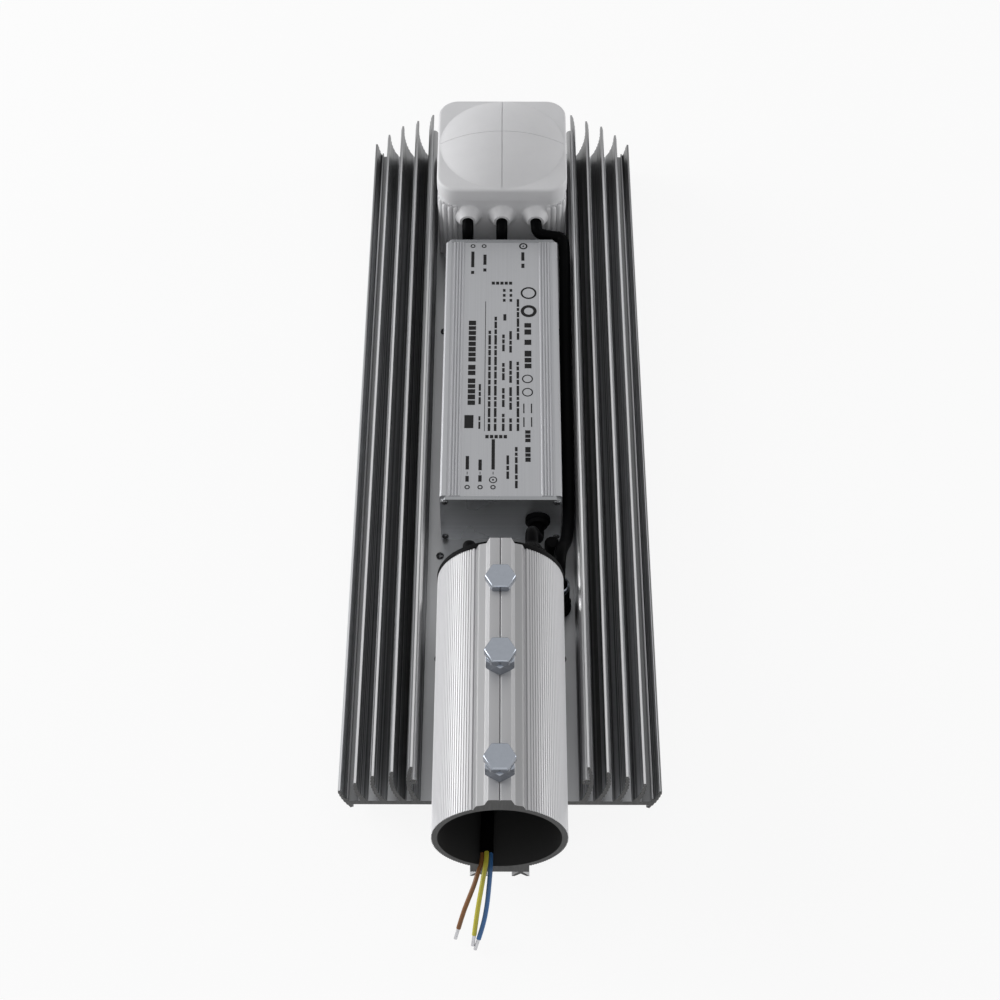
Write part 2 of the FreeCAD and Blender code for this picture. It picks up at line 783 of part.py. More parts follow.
def side_gland():
    """A ribbed gland body that stands on the plate, with a metal nut on top."""
    bore, thread = size("lead_radius"), size("gland_thread")
    rim, low = size("side_gland_flange"), size("side_gland_flange_height")
    waist, height = size("side_gland_body"), size("side_gland_body_height")
    drop = size("plate_thickness")
    profile = [(bore, -drop), (thread, -drop), (thread, 0), (rim, 0), (rim, low), (waist, low)]
    profile += [(waist, low + height), (bore, low + height)]
    gland = document.addObject("Part::Feature", "side_gland")
    gland.Shape = turned(profile)
    x, y = side_gland_place()
    keep(gland, "side_gland", seat(x, y))
    outer, rise = size("side_gland_nut"), size("side_gland_nut_height")
    ring = [(bore, 0), (outer, 0), (outer, rise), (bore, rise)]
    nut = document.addObject("Part::Feature", "side_gland_nut")
    nut.Shape = turned(ring)
    keep(nut, "side_gland_nut", seat(x, y, low + height))


def sealing_plug():
    radius, foot = size("plug_radius"), size("plug_foot_radius")
    high, low, drop = size("plug_height"), size("plug_foot_height"), size("plate_thickness")
    profile = [(0, -drop), (radius, -drop), (radius, 0), (foot, 0), (foot, low), (radius, low)]
    profile += [(radius, high), (0, high)]
    plug = document.addObject("Part::Feature", "sealing_plug")
    plug.Shape = turned(profile)
    x, y = plug_place()
    keep(plug, "sealing_plug", seat(x, y))


# Cables
def cord_path(points):
    """Straight runs joined by tangent arcs, each as large as its two runs allow."""
    corners = [Vector(*point) for point in points]
    edges, radii = [], []
    here = corners[0]
    for before, corner, after in zip(corners, corners[1:], corners[2:]):
        coming = (corner - before).normalize()
        going = (after - corner).normalize()
        half_turn = math.acos(max(-1.0, min(1.0, coming.dot(going)))) / 2
        run = 0.45 * min((corner - before).Length, (after - corner).Length)
        radii.append(run / math.tan(half_turn))
        start, end = corner - coming * run, corner + going * run
        inward = (going - coming).normalize()
        middle = corner + inward * (radii[-1] / math.cos(half_turn) - radii[-1])
        edges.append(Part.makeLine(here, start))
        edges.append(Part.Arc(start, middle, end).toShape())
        here = end
    edges.append(Part.makeLine(here, corners[-1]))
    return Part.Wire(edges), radii


def cord_tube(label, points, radius, sides=8):
    """One cable or core as a plain many-sided tube along its route, in the heat sink's frame."""
    path, radii = cord_path(points)
    start = Vector(*points[0])
    along = (Vector(*points[1]) - start).normalize()
    corners = Part.makeCircle(radius, start, along).discretize(Number=sides + 1)
    section = Part.Face(Part.makePolygon(corners[:-1] + corners[:1]))
    area = section.Area
    runs = []
    for edge in path.Edges:
        if edge.Curve.TypeId == "Part::GeomLine":
            step = edge.lastVertex(True).Point - edge.firstVertex(True).Point
            runs.append(section.extrude(step))
            section = section.translated(step)
        else:
            arc = edge.Curve
            turn = math.degrees(edge.Length / arc.Radius)
            runs.append(section.revolve(arc.Center, arc.Axis, turn))
            section = section.rotated(arc.Center, arc.Axis, turn)
    tube = runs[0].multiFuse(runs[1:])
    if abs(tube.Volume - area * path.Length) > 0.001 * tube.Volume:
        raise RuntimeError("the tube of %s has the wrong volume" % label)
    print("%s length %.1f radii %s" % (label, path.Length, " ".join("%.1f" % r for r in radii)))
    item = document.addObject("Part::Feature", label)
    item.Shape = tube
    return keep(item, label, seat())


def input_cable():
    """The mains cable from the driver's gland up through the cap's gland."""
    gland_x, gland_z = driver_gland_place()
    cap_x, cap_z = size("gland_side"), size("tube_axis_height") + size("gland_rise")
    gland_out = DRIVER_START - size("driver_gland_length")
    cone_end = TUBE_END + size("cap_thickness") + size("gland_flange_height") + size("gland_cone_height")
    cord_tube("input_cable", [
        (gland_x, case_start(), gland_z),
        (gland_x, gland_out - 10, gland_z),
        (cap_x, cone_end + 11, cap_z),
        (cap_x, cone_end - size("gland_cone_height"), cap_z),
    ], size("lead_radius"))


def bore_floor(x):
    """Height of a lead's centre where it lies in the bore, at one side of the centre line."""
    reach = size("tube_bore") - size("lead_radius") - size("lead_lift")
    return size("tube_axis_height") - math.sqrt(reach ** 2 - x ** 2)


def lead_jacket():
    """The mains lead's jacket, from the cap down to the bore's floor and out to the mouth."""
    cap_x, cap_z = size("gland_side"), size("tube_axis_height") + size("gland_rise")
    far, mouth = TUBE_END - size("cap_spigot"), -size("tube_overhang")
    end_x = size("lead_end_side")
    gland = far + size("cap_spigot") + size("cap_thickness") + size("gland_flange_height")
    cord_tube("lead_jacket", [
        (cap_x, gland, cap_z),
        (cap_x, far - 20, cap_z),
        (cap_x - 3.5, far - 46, cap_z - 27),
        (cap_x - 14.0, far - 70, bore_floor(0) + 2.6),
        (cap_x - 20.5, far - 94, bore_floor(4) + 0.5),
        (end_x, far - 120, bore_floor(end_x)),
        (end_x, mouth + size("lead_end_inset"), bore_floor(end_x)),
    ], size("lead_radius"))


CORE_ROUTES = {
    "core_brown": (-2.0, -0.6, ((-10.9, -47.5, 15.0), (-12.4, -52.5, 13.2), (-15.0, -57.8, 9.3),
                                (-18.0, -61.6, 5.0), (-19.6, -66.0, 1.4))),
    "core_yellow": (0.0, 1.1, ((-7.6, -47.4, 16.3), (-9.0, -55.0, 13.6), (-10.4, -61.0, 9.6),
                               (-11.7, -67.0, 4.4), (-12.3, -72.0, -0.4))),
    "core_blue": (2.0, -0.6, ((-4.6, -46.4, 15.2), (-5.3, -54.0, 12.2), (-6.2, -61.0, 8.0),
                              (-8.0, -68.0, 2.6), (-9.8, -73.2, -1.8))),
}


def core_routes():
    """The route of each core from the jacket's end; the first run goes on straight."""
    end_x, end_y = size("lead_end_side"), size("lead_end_inset") - size("tube_overhang")
    routes = {}
    for label, (side, lift, points) in CORE_ROUTES.items():
        start = (end_x + side, end_y, bore_floor(end_x) + lift)
        routes[label] = [start, (start[0], end_y - 4.5, start[2])] + list(points)
    return routes


def cores():
    for label, points in core_routes().items():
        cord_tube(label, points, size("core_radius"))
        before, end = Vector(*points[-2]), Vector(*points[-1])
        way = (end - before).normalize()
        tip = document.addObject("Part::Feature", label + "_tip")
        tip.Shape = Part.makeCylinder(size("core_tip_radius"), size("core_tip_length"), end, way)
        keep(tip, label + "_tip", seat())


def box_cables():
    """The two short cables from the box down into the driver, and the long one beside it."""
    lead = size("lead_radius")
    half = size("box_side") / 2 - size("box_inset")
    inside = box_middle() - half + size("outlet_hold")
    top, low = size("outlet_height"), size("driver_gland_height")
    driver_end = DRIVER_END
    bend = driver_end + 7.5
    for label, x in (("output_cable_left", -size("outlet_spacing")), ("output_cable_middle", 0.0)):
        cord_tube(label, [
            (x, inside, top),
            (x, bend, top),
            (x, bend, low),
            (x, driver_end - size("end_plate_thickness"), low),
        ], lead)
    channel = size("driver_width") / 2 + lead + size("cable_clearance")
    gland_x, gland_y = side_gland_place()
    gland_top = size("side_gland_flange_height") + size("side_gland_body_height")
    cord_tube("side_cable", [
        (size("outlet_spacing"), inside, top),
        (size("outlet_spacing"), bend, top),
        (channel + 0.3, bend, 32.6),
        (channel + 0.3, driver_end - 22, 31.5),
        (channel - 0.1, driver_end - 80, 26.6),
        (channel + 0.2, driver_end - 140, 27.4),
        (channel, driver_end - 196, 26.8),
        (channel - 1.4, gland_y + 26, 29.0),
        (gland_x + 0.4, gland_y + 12, gland_top + 21.0),
        (gland_x, gland_y, gland_top + 19.0),
        (gland_x, gland_y, gland_top - size("side_gland_body_height") / 2),
    ], lead)


# Light modules
def module_middles():
    return [SINK_MIDDLE + step * MODULE_PITCH for step in (-1, 0, 1)]


def lens_places():
    """Centres of one module's lenses about its middle."""
    rows, columns = round(size("lens_rows")), round(size("lens_columns"))
    row_start = -(rows - 1) * size("lens_row_pitch") / 2
    column_start = -(columns - 1) * size("lens_column_pitch") / 2
    return [(column_start + column * size("lens_column_pitch"), row_start + row * size("lens_row_pitch"))
            for column in range(columns) for row in range(rows)]


def led_board(number):
    label = "led_board_%d" % (number + 1)
    body = new_body(label)
    half_x = size("module_width") / 2 - size("board_margin")
    half_y = MODULE_LENGTH / 2 - size("board_margin")
    outline = [(half_x, half_y), (-half_x, half_y), (-half_x, -half_y), (half_x, -half_y)]
    pad(body, sketch(body, "top", loop_of(outline)), "board_thickness")
    level = -size("plate_thickness") - size("board_thickness")
    keep(body, label, seat(0, module_middles()[number], level))


def led_chips(number):
    label = "led_chips_%d" % (number + 1)
    side, height = size("chip_side"), size("chip_height")
    level = -size("plate_thickness") - size("board_thickness") - height
    chips = [Part.makeBox(side, side, height, Vector(x - side / 2, y - side / 2, 0))
             for x, y in lens_places()]
    keep(group(label, chips), label, seat(0, module_middles()[number], level))


def lens(x, y, level):
    """One raised lens as an eight-sided frustum that points down."""
    rings = []
    for radius, z in ((size("lens_radius"), level), (size("lens_crown"), level - size("lens_rise"))):
        angles = [math.radians(22.5 + 45 * number) for number in range(8)]
        rings.append([Vector(x + radius * math.cos(a), y + radius * math.sin(a), z) for a in angles])
    wide, narrow = rings
    faces = [Part.Face(Part.makePolygon(ring + ring[:1])) for ring in rings]
    for number in range(8):
        other = (number + 1) % 8
        side = [wide[number], wide[other], narrow[other], narrow[number], wide[number]]
        faces.append(Part.Face(Part.makePolygon(side)))
    return Part.Solid(Part.Shell(faces))


def lens_plate(number):
    """A clear plate over the board and its chips, with a raised lens under each chip."""
    label = "lens_plate_%d" % (number + 1)
    body = new_body(label)
    half_x, half_y = size("module_width") / 2, MODULE_LENGTH / 2
    outline = rounded_rectangle(half_x, half_y, size("module_corner"))
    pad(body, sketch(body, "top", outline), "board_thickness + lens_flange", True)
    fit = size("hole_clearance")
    inner_x, inner_y = half_x - size("board_margin") + fit, half_y - size("board_margin") + fit
    recess = loop_of([(inner_x, inner_y), (-inner_x, inner_y), (-inner_x, -inner_y), (inner_x, -inner_y)])
    pocket(body, sketch(body, "top", recess), "board_thickness + chip_height")
    level = -size("board_thickness") - size("lens_flange")
    lenses = document.addObject("Part::Feature", label + "_lenses")
    lenses.Shape = Part.makeCompound([lens(x, y, level) for x, y in lens_places()])
    plate = join(label, [body, lenses])
    keep(plate, label, seat(0, module_middles()[number], -size("plate_thickness")))


def light_modules():
    for number in range(3):
        led_board(number)
        led_chips(number)
        lens_plate(number)


def check_and_export():
    document.recompute()
    for item in document.Objects:
        if "Invalid" in item.State or "Error" in item.State:
            raise RuntimeError("%s is in state %s" % (item.Name, item.State))
    for label, item in parts.items():
        shape = item.Shape
        if shape.isNull() or not shape.isValid() or not shape.Solids:
            raise RuntimeError(label + " has no valid solid")
    os.makedirs("parts", exist_ok=True)
    for label, item in parts.items():
        item.Shape.exportStep("parts/%s.step" % label)
    print(len(parts), "sub-parts")


heat_sink()
spigot_tube()
clamp_bolts()
tube_mount_screws()
tube_end_cap()
cap_fittings()
driver()
control_box()
control_box_lid()
side_gland()
sealing_plug()
input_cable()
lead_jacket()
cores()
box_cables()
light_modules()
check_and_export()
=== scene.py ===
"""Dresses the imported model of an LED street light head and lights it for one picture.

The file is laid out as an add-on: property groups hold the sizes and colours that a user would
change, each group of pieces has an operator, and main() calls them in order. Lengths are in
metres in the model's own frame: +Z up, +Y from the pole tube towards the control box.
"""

import math

import bmesh
import bpy
from bpy.props import FloatProperty, FloatVectorProperty, PointerProperty
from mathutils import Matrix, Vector


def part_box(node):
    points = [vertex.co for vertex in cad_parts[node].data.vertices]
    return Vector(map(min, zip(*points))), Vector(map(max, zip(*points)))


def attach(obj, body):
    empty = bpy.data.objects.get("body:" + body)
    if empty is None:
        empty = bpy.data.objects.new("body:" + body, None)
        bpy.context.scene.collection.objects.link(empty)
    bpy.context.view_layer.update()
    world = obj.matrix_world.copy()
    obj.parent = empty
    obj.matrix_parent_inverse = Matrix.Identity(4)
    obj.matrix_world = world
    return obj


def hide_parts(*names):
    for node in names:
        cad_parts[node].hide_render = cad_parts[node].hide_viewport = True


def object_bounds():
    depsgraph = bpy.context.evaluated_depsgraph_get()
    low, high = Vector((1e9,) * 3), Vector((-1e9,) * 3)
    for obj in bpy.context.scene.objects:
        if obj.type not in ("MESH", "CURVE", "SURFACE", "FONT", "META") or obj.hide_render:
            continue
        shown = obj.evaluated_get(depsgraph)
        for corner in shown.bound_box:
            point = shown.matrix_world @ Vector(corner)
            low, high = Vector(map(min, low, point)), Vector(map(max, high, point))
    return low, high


bl_info = {
    "name": "LED street light head",
    "version": (1, 0, 0),
    "blender": (4, 5, 0),
    "location": "3D View > Sidebar > Street light",
    "description": "Dresses the packed street light head and sets up its studio",
    "category": "Object",
}

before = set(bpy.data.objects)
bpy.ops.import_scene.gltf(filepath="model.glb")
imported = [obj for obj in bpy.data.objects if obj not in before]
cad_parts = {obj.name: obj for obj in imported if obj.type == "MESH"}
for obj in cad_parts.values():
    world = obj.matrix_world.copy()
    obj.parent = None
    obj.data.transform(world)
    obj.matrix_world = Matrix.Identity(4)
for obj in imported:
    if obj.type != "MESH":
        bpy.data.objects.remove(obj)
CAD_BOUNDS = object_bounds()
MM = 0.001

SINK_LOW, SINK_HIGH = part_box("heat_sink")
TUBE_LOW, TUBE_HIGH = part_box("spigot_tube")
PLATE_TOP = TUBE_LOW.z
DRIVER_LOW, DRIVER_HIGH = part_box("driver_case")
LID_LOW, LID_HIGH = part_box("control_box_lid")
TUBE_RADIUS = (TUBE_HIGH.x - TUBE_LOW.x) / 2
TUBE_BORE = TUBE_RADIUS - 3.1 * MM
TUBE_AXIS = PLATE_TOP + 42.0 * MM
DOME_RIM = 38.6 * MM

# Where the looks of the extrusions change, and where painted shade and painted highlights lie on them
END_SLACK = 0.05 * MM
FIN_FOOT = PLATE_TOP + 1.2 * MM
# The fin tips get a painted highlight above this height.
TIP_HIGHLIGHT_FROM = PLATE_TOP + 18.0 * MM
# The plate gets painted shade in its outer strips beyond this distance from the middle.
SHADED_STRIP_EDGE = 73.5 * MM
# The tube's shoulders and ridge get painted shade within these half widths.
SHOULDER_REACH = 12.2 * MM
RIDGE_REACH = 7.4 * MM


def card(red, green, blue):
    """A colour read off a paint card, 0 to 255, as the shader's linear values."""
    parts = [channel / 255 for channel in (red, green, blue)]
    return tuple(p / 12.92 if p <= 0.04045 else ((p + 0.055) / 1.055) ** 2.4 for p in parts)


def paint(name, description, colour):
    return FloatVectorProperty(
        name=name, description=description, default=card(*colour), subtype="COLOR", size=3, min=0, max=1)


def length(name, description, millimetres):
    return FloatProperty(name=name, description=description, default=millimetres * MM, unit="LENGTH",
                         precision=5, min=0)


class StreetLightSizes(bpy.types.PropertyGroup):
    groove_pitch: length(
        "Tube groove pitch", "Distance round the tube from one fine groove to the next", 1.45)
    groove_depth: length("Tube groove depth", "How deep the tube's fine grooves are", 0.34)
    groove_margin: length("Tube groove margin", "Band between the shoulder and the first fine groove", 1.7)
    ridge_edge: length("Ridge edge", "Radius of the long edges of the tube's ridge and feet", 0.4)
    thread_pitch: length("Bolt thread pitch", "Distance from one thread of a clamp bolt to the next", 1.5)
    thread_depth: length("Bolt thread depth", "How deep the thread of a clamp bolt is", 0.55)
    hex_across: length("Hexagon width", "Width over the flats of the bolts' heads and of the nuts", 14.2)
    print_height: length("Print height", "How far the ink stands on the driver", 0.05)
    lid_corner: length("Lid corner", "Radius of the lid's four upright corners", 12.5)
    lid_edge: length("Lid edge", "Radius of the lid's upper edge", 1.8)


class StreetLightColours(bpy.types.PropertyGroup):
    sink: paint("Heat sink", "Anodised aluminium of the fins and the plate", (174, 175, 177))
    # The fin tip colour is a painted highlight, lighter where the tips face the lamps.
    fin_tip_highlight: paint("Fin tips", "Rubbed upper edges of the fins", (214, 214, 215))
    tube: paint("Pole tube", "Satin aluminium of the pole tube", (169, 169, 171))
    # In the tube's bore this colour is darkened further as painted shade.
    cut_face: paint("Cut face", "Sawn ends and the bore of the pole tube", (74, 74, 74))
    driver: paint("Driver case", "Brushed aluminium of the driver's case", (168, 169, 172))
    end_plate: paint("Driver end plates", "Sheet metal of the driver's two ends", (164, 166, 169))
    zinc: paint("Bolts", "Zinc plating of the clamp bolts and nuts", (147, 152, 160))
    box: paint("Control box", "Moulded plastic of the box and its lid", (212, 212, 214))
    black: paint("Black plastic", "Cap, glands and plugs", (13, 13, 14))
    rubber: paint("Cable rubber", "Outer jacket of every cable", (7, 7, 8))
    brown: paint("Brown core", "Insulation of the first core", (122, 79, 38))
    yellow: paint("Yellow core", "Insulation of the second core", (186, 178, 58))
    blue: paint("Blue core", "Insulation of the third core", (52, 98, 150))
    ink: paint("Ink", "Print on the driver", (15, 15, 16))


def sizes():
    return bpy.context.scene.street_light_sizes


def colours():
    return bpy.context.scene.street_light_colours


# Finishes
def new_finish(name, colour, metallic=0.0, roughness=0.5, gloss=0.5):
    """A new material with its shader's plain values set."""
    material = bpy.data.materials.new(name)
    material.use_nodes = True
    shader = material.node_tree.nodes["Principled BSDF"]
    shader.inputs["Base Color"].default_value = (*colour, 1.0)
    shader.inputs["Metallic"].default_value = metallic
    shader.inputs["Roughness"].default_value = roughness
    shader.inputs["Specular IOR Level"].default_value = gloss
    return material


def shader_of(material):
    return material.node_tree.nodes["Principled BSDF"]


def wire(material, source, target):
    material.node_tree.links.new(source, target)


def surface_point(material):
    return material.node_tree.nodes.new("ShaderNodeTexCoord").outputs["Object"]


def grain(material, scale, detail=4.0, roughness=0.6, turn=(0.0, 0.0, 0.0)):
    """Noise on the piece's own coordinates, drawn out along an axis where its scale is small."""
    nodes = material.node_tree.nodes
    mapping = nodes.new("ShaderNodeMapping")
    mapping.inputs["Scale"].default_value = scale
    mapping.inputs["Rotation"].default_value = turn
    noise = nodes.new("ShaderNodeTexNoise")
    noise.inputs["Scale"].default_value = 1.0
    noise.inputs["Detail"].default_value = detail
    noise.inputs["Roughness"].default_value = roughness
    wire(material, surface_point(material), mapping.inputs["Vector"])
    wire(material, mapping.outputs["Vector"], noise.inputs["Vector"])
    return noise.outputs["Fac"]


def ranged(material, value, low, high, start=0.3, end=0.7):
    """A value between start and end becomes one between low and high."""
    step = material.node_tree.nodes.new("ShaderNodeMapRange")
    step.inputs["From Min"].default_value = start
    step.inputs["From Max"].default_value = end
    step.inputs["To Min"].default_value = low
    step.inputs["To Max"].default_value = high
    wire(material, value, step.inputs["Value"])
    return step.outputs["Result"]


def maths(material, operation, first, second):
    """One step of arithmetic; each operand is a number or another node's output."""
    step = material.node_tree.nodes.new("ShaderNodeMath")
    step.operation = operation
    for socket, operand in zip(step.inputs, (first, second)):
        if isinstance(operand, (int, float)):
            socket.default_value = operand
        else:
            wire(material, operand, socket)
    return step.outputs["Value"]


def times(material, first, second):
    return maths(material, "MULTIPLY", first, second)


def mixed(material, factor, low, high):
    """Two colours, each a tuple or another node's output, mixed by a factor."""
    mix = material.node_tree.nodes.new("ShaderNodeMix")
    mix.data_type = "RGBA"
    wire(material, factor, mix.inputs["Factor"])
    for socket, colour in ((mix.inputs[6], low), (mix.inputs[7], high)):
        if isinstance(colour, (tuple, list)):
            socket.default_value = (*colour, 1.0)
        else:
            wire(material, colour, socket)
    return mix.outputs[2]


def mixed_shader(owner, factor, low, high):
    """Two shaders of a material or a world, mixed by a factor."""
    mix = owner.node_tree.nodes.new("ShaderNodeMixShader")
    for socket, source in zip(mix.inputs, (factor, low, high)):
        wire(owner, source, socket)
    return mix.outputs[0]


def seen_rays(owner):
    """What marks camera and glossy rays, and what marks transmission rays."""
    path = owner.node_tree.nodes.new("ShaderNodeLightPath").outputs
    return maths(owner, "MAXIMUM", path["Is Camera Ray"], path["Is Glossy Ray"]), path["Is Transmission Ray"]


def shade(colour, factor):
    return tuple(min(1.0, channel * factor) for channel in colour)


def vary(material, factor, colour, spread):
    """Feeds the base colour with a darker and a lighter tone of one colour."""
    tone = mixed(material, factor, shade(colour, 1 - spread), shade(colour, 1 + spread))
    wire(material, tone, shader_of(material).inputs["Base Color"])
    return tone


def roughen(material, factor, low, high):
    wire(material, ranged(material, factor, low, high), shader_of(material).inputs["Roughness"])


def raise_relief(material, height, distance, strength=1.0):
    """Adds relief from a height value, on top of any relief that the shader has already."""
    normal = shader_of(material).inputs["Normal"]
    bump = material.node_tree.nodes.new("ShaderNodeBump")
    bump.inputs["Strength"].default_value = strength
    bump.inputs["Distance"].default_value = distance
    if normal.is_linked:
        wire(material, normal.links[0].from_socket, bump.inputs["Normal"])
    wire(material, height, bump.inputs["Height"])
    wire(material, bump.outputs["Normal"], normal)


def axes_of(material, vector):
    """The three coordinates of a point or a direction."""
    split = material.node_tree.nodes.new("ShaderNodeSeparateXYZ")
    wire(material, vector, split.inputs["Vector"])
    return split.outputs["X"], split.outputs["Y"], split.outputs["Z"]


def end_mask(material, y, low, high):
    """1 on the two sawn ends of an extrusion and 0 between them."""
    at_near = maths(material, "LESS_THAN", y, low.y + END_SLACK)
    at_far = maths(material, "GREATER_THAN", y, high.y - END_SLACK)
    return maths(material, "MAXIMUM", at_near, at_far)


def sawn_tone(material, scale, turn, dark, light):
    """The blade's marks on a sawn end, between two shades of the cut face."""
    dull = colours().cut_face
    saw = grain(material, (900, 900, scale), detail=2.0, turn=(0.0, turn, 0.0))
    return mixed(material, ranged(material, saw, 0.0, 1.0), shade(dull, dark), shade(dull, light))


def sink_finish():
    """Anodised extrusion with die lines along it, painted shade on the fins and plate, and painted highlights
    on the fin tips.
    """
    colour = colours().sink
    material = new_finish("anodised_sink", colour, metallic=0.6, roughness=0.36)
    lines = grain(material, (1700, 5, 1700), detail=2.0)
    stripes = grain(material, (800, 1.0, 800), detail=1.0)
    clouds = grain(material, (35, 9, 35))
    x, y, z = axes_of(material, surface_point(material))
    on_fin = maths(material, "GREATER_THAN", z, FIN_FOOT)
    # The stripes along the fins are painted shade of their serrations in the colour, and also a bump.
    stripes = times(material, maths(material, "SUBTRACT", stripes, 0.5), on_fin)
    tone = vary(material, ranged(material, stripes, 0.0, 1.0, -0.1, 0.1), colour, 0.6)
    # Painted shade: the fins darken towards the far end, and the plate darkens in its outer strips beside the
    # skirts.
    shaded_far_part = times(material, ranged(material, y, 0.0, 1.0, 0.19, 0.245), on_fin)
    shaded_outer_strip = maths(material, "GREATER_THAN", maths(material, "ABSOLUTE", x, 0.0), SHADED_STRIP_EDGE)
    shaded_outer_strip = times(material, shaded_outer_strip, maths(material, "SUBTRACT", 1.0, on_fin))
    for darker in (shaded_far_part, shaded_outer_strip):
        tone = mixed(material, darker, tone, shade(colour, 0.42))
    # Painted highlight: upward faces of the fins high up are lighter, most of all near the tube.
    facing = material.node_tree.nodes.new("ShaderNodeNewGeometry").outputs["Normal"]
    upwards = maths(material, "GREATER_THAN", axes_of(material, facing)[2], 0.45)
    high_up = maths(material, "GREATER_THAN", z, TIP_HIGHLIGHT_FROM)
    towards_tube = ranged(material, y, 1.0, 0.25, -0.05, 0.22)
    tip_highlight = times(material, times(material, upwards, high_up), towards_tube)
    tone = mixed(material, tip_highlight, tone, shade(colours().fin_tip_highlight, 1.0))
    on_end = end_mask(material, y, SINK_LOW, SINK_HIGH)
    tone = mixed(material, on_end, tone, sawn_tone(material, 80, 0.4, 0.8, 1.25))
    wire(material, tone, shader_of(material).inputs["Base Color"])
    rough = maths(material, "ADD", ranged(material, clouds, 0.28, 0.4), times(material, on_end, 0.2))
    wire(material, rough, shader_of(material).inputs["Roughness"])
    raise_relief(material, lines, 0.00005, 0.25)
    raise_relief(material, stripes, 0.0005, 0.7)
    return material


def tube_finish():
    """Satin extrusion whose sawn ends stay dull and dark, with painted shade in its dull bore and on its
    shoulders and ridge, and painted highlights towards its sides.
    """
    colour = colours().tube
    material = new_finish("satin_tube", colour, metallic=0.2, roughness=0.46)
    shader_of(material).inputs["Coat Roughness"].default_value = 0.3
    shader_of(material).inputs["Coat IOR"].default_value = 1.6
    lines = grain(material, (600, 2, 600), detail=0.0)
    clouds = grain(material, (30, 12, 30))
    tone = vary(material, ranged(material, clouds, 0.0, 1.0), colour, 0.03)
    x, y, z = axes_of(material, surface_point(material))
    # Painted highlight: the tube grows lighter towards both sides.
    off_middle = maths(material, "ABSOLUTE", x, 0.0)
    side_highlight = ranged(material, off_middle, 0.0, 1.0, 17 * MM, 31 * MM)
    tone = mixed(material, side_highlight, tone, shade(colour, 1.62))
    # Painted shade on the shoulders, and a little on the ridge, above the axis.
    above = maths(material, "GREATER_THAN", z, TUBE_AXIS)
    for half_width, factor in ((SHOULDER_REACH, 0.71), (RIDGE_REACH, 0.97)):
        inside = times(material, maths(material, "LESS_THAN", off_middle, half_width), above)
        tone = mixed(material, inside, tone, shade(colour, factor))
    height = maths(material, "SUBTRACT", z, TUBE_AXIS)
    squares = maths(material, "ADD", times(material, x, x), times(material, height, height))
    from_axis = maths(material, "SQRT", squares, 0.0)
    in_bore = maths(material, "LESS_THAN", from_axis, TUBE_BORE + 0.15 * MM)
    on_end = end_mask(material, y, TUBE_LOW, TUBE_HIGH)
    tone = mixed(material, on_end, tone, sawn_tone(material, 60, 0.5, 0.85, 1.2))
    # Painted shade: the bore is coloured near black; it is also rougher and has no coat.
    tone = mixed(material, in_bore, tone, shade(colours().cut_face, 0.28))
    wire(material, tone, shader_of(material).inputs["Base Color"])
    dull_part = maths(material, "MAXIMUM", on_end, in_bore)
    rough = maths(material, "ADD", ranged(material, clouds, 0.42, 0.5), times(material, dull_part, 0.2))
    wire(material, rough, shader_of(material).inputs["Roughness"])
    coat = maths(material, "SUBTRACT", 0.8, times(material, dull_part, 0.8))
    wire(material, coat, shader_of(material).inputs["Coat Weight"])
    raise_relief(material, lines, 0.00001, 0.1)
    return material


def driver_finish():
    """Brushed extrusion with fine lines along the case."""
    colour = colours().driver
    material = new_finish("brushed_driver", colour, metallic=0.6, roughness=0.4)
    lines = grain(material, (2600, 8, 2600), detail=3.0)
    clouds = grain(material, (28, 14, 28))
    vary(material, ranged(material, lines, 0.0, 1.0), colour, 0.05)
    roughen(material, clouds, 0.36, 0.46)
    raise_relief(material, lines, 0.00004, 0.3)
    return material


def end_plate_finish():
    """Sheet metal with a rolled grain across it, and a painted reflection that makes it lighter towards its
    foot.
    """
    colour = colours().end_plate
    material = new_finish("sheet_end_plate", colour, metallic=0.6, roughness=0.3)
    lines = grain(material, (10, 700, 900), detail=2.0)
    z = axes_of(material, surface_point(material))[2]
    # Painted reflection: the plate is lighter towards its foot and darker near its top.
    painted_reflection_low = ranged(material, z, 1.0, 0.0, 14 * MM, 46 * MM)
    tone = mixed(material, painted_reflection_low, shade(colour, 0.82), shade(colour, 1.75))
    streaked = mixed(material, ranged(material, lines, 0.0, 0.12), tone, shade(colour, 0.4))
    wire(material, streaked, shader_of(material).inputs["Base Color"])
    roughen(material, grain(material, (22, 22, 22), detail=2.0), 0.26, 0.3)
    return material


def zinc_finish(name, colour, metallic):
    """Plated steel with the fine texture of its plating."""
    material = new_finish(name, colour, metallic=metallic, roughness=0.25)
    spangle = grain(material, (420, 420, 420), detail=5.0)
    vary(material, ranged(material, spangle, 0.0, 1.0), colour, 0.03)
    roughen(material, grain(material, (110, 110, 110)), 0.12, 0.2)
    raise_relief(material, spangle, 0.00002, 0.1)
    return material


def plastic_finish(name, colour, roughness, texture=0.00005, pitch=1400.0, gloss=0.5):
    """Moulded plastic with a fine spark-eroded texture and a slightly uneven gloss."""
    material = new_finish(name, colour, roughness=roughness, gloss=gloss)
    stipple = grain(material, (pitch, pitch, pitch), detail=2.0)
    clouds = grain(material, (45, 45, 45))
    vary(material, ranged(material, clouds, 0.0, 1.0), colour, 0.03)
    roughen(material, clouds, roughness - 0.05, roughness + 0.06)
    raise_relief(material, stipple, texture, 0.35)
    return material


def rubber_finish():
    """Cable jacket with fine scuffs and dusty, less glossy patches."""
    colour = colours().rubber
    material = new_finish("cable_rubber", colour, roughness=0.4, gloss=0.015)
    scuffs = grain(material, (260, 260, 260), detail=5.0)
    vary(material, ranged(material, scuffs, 0.0, 1.0), colour, 0.2)
    roughen(material, grain(material, (60, 60, 60)), 0.34, 0.46)
    raise_relief(material, scuffs, 0.00005, 0.4)
    return material


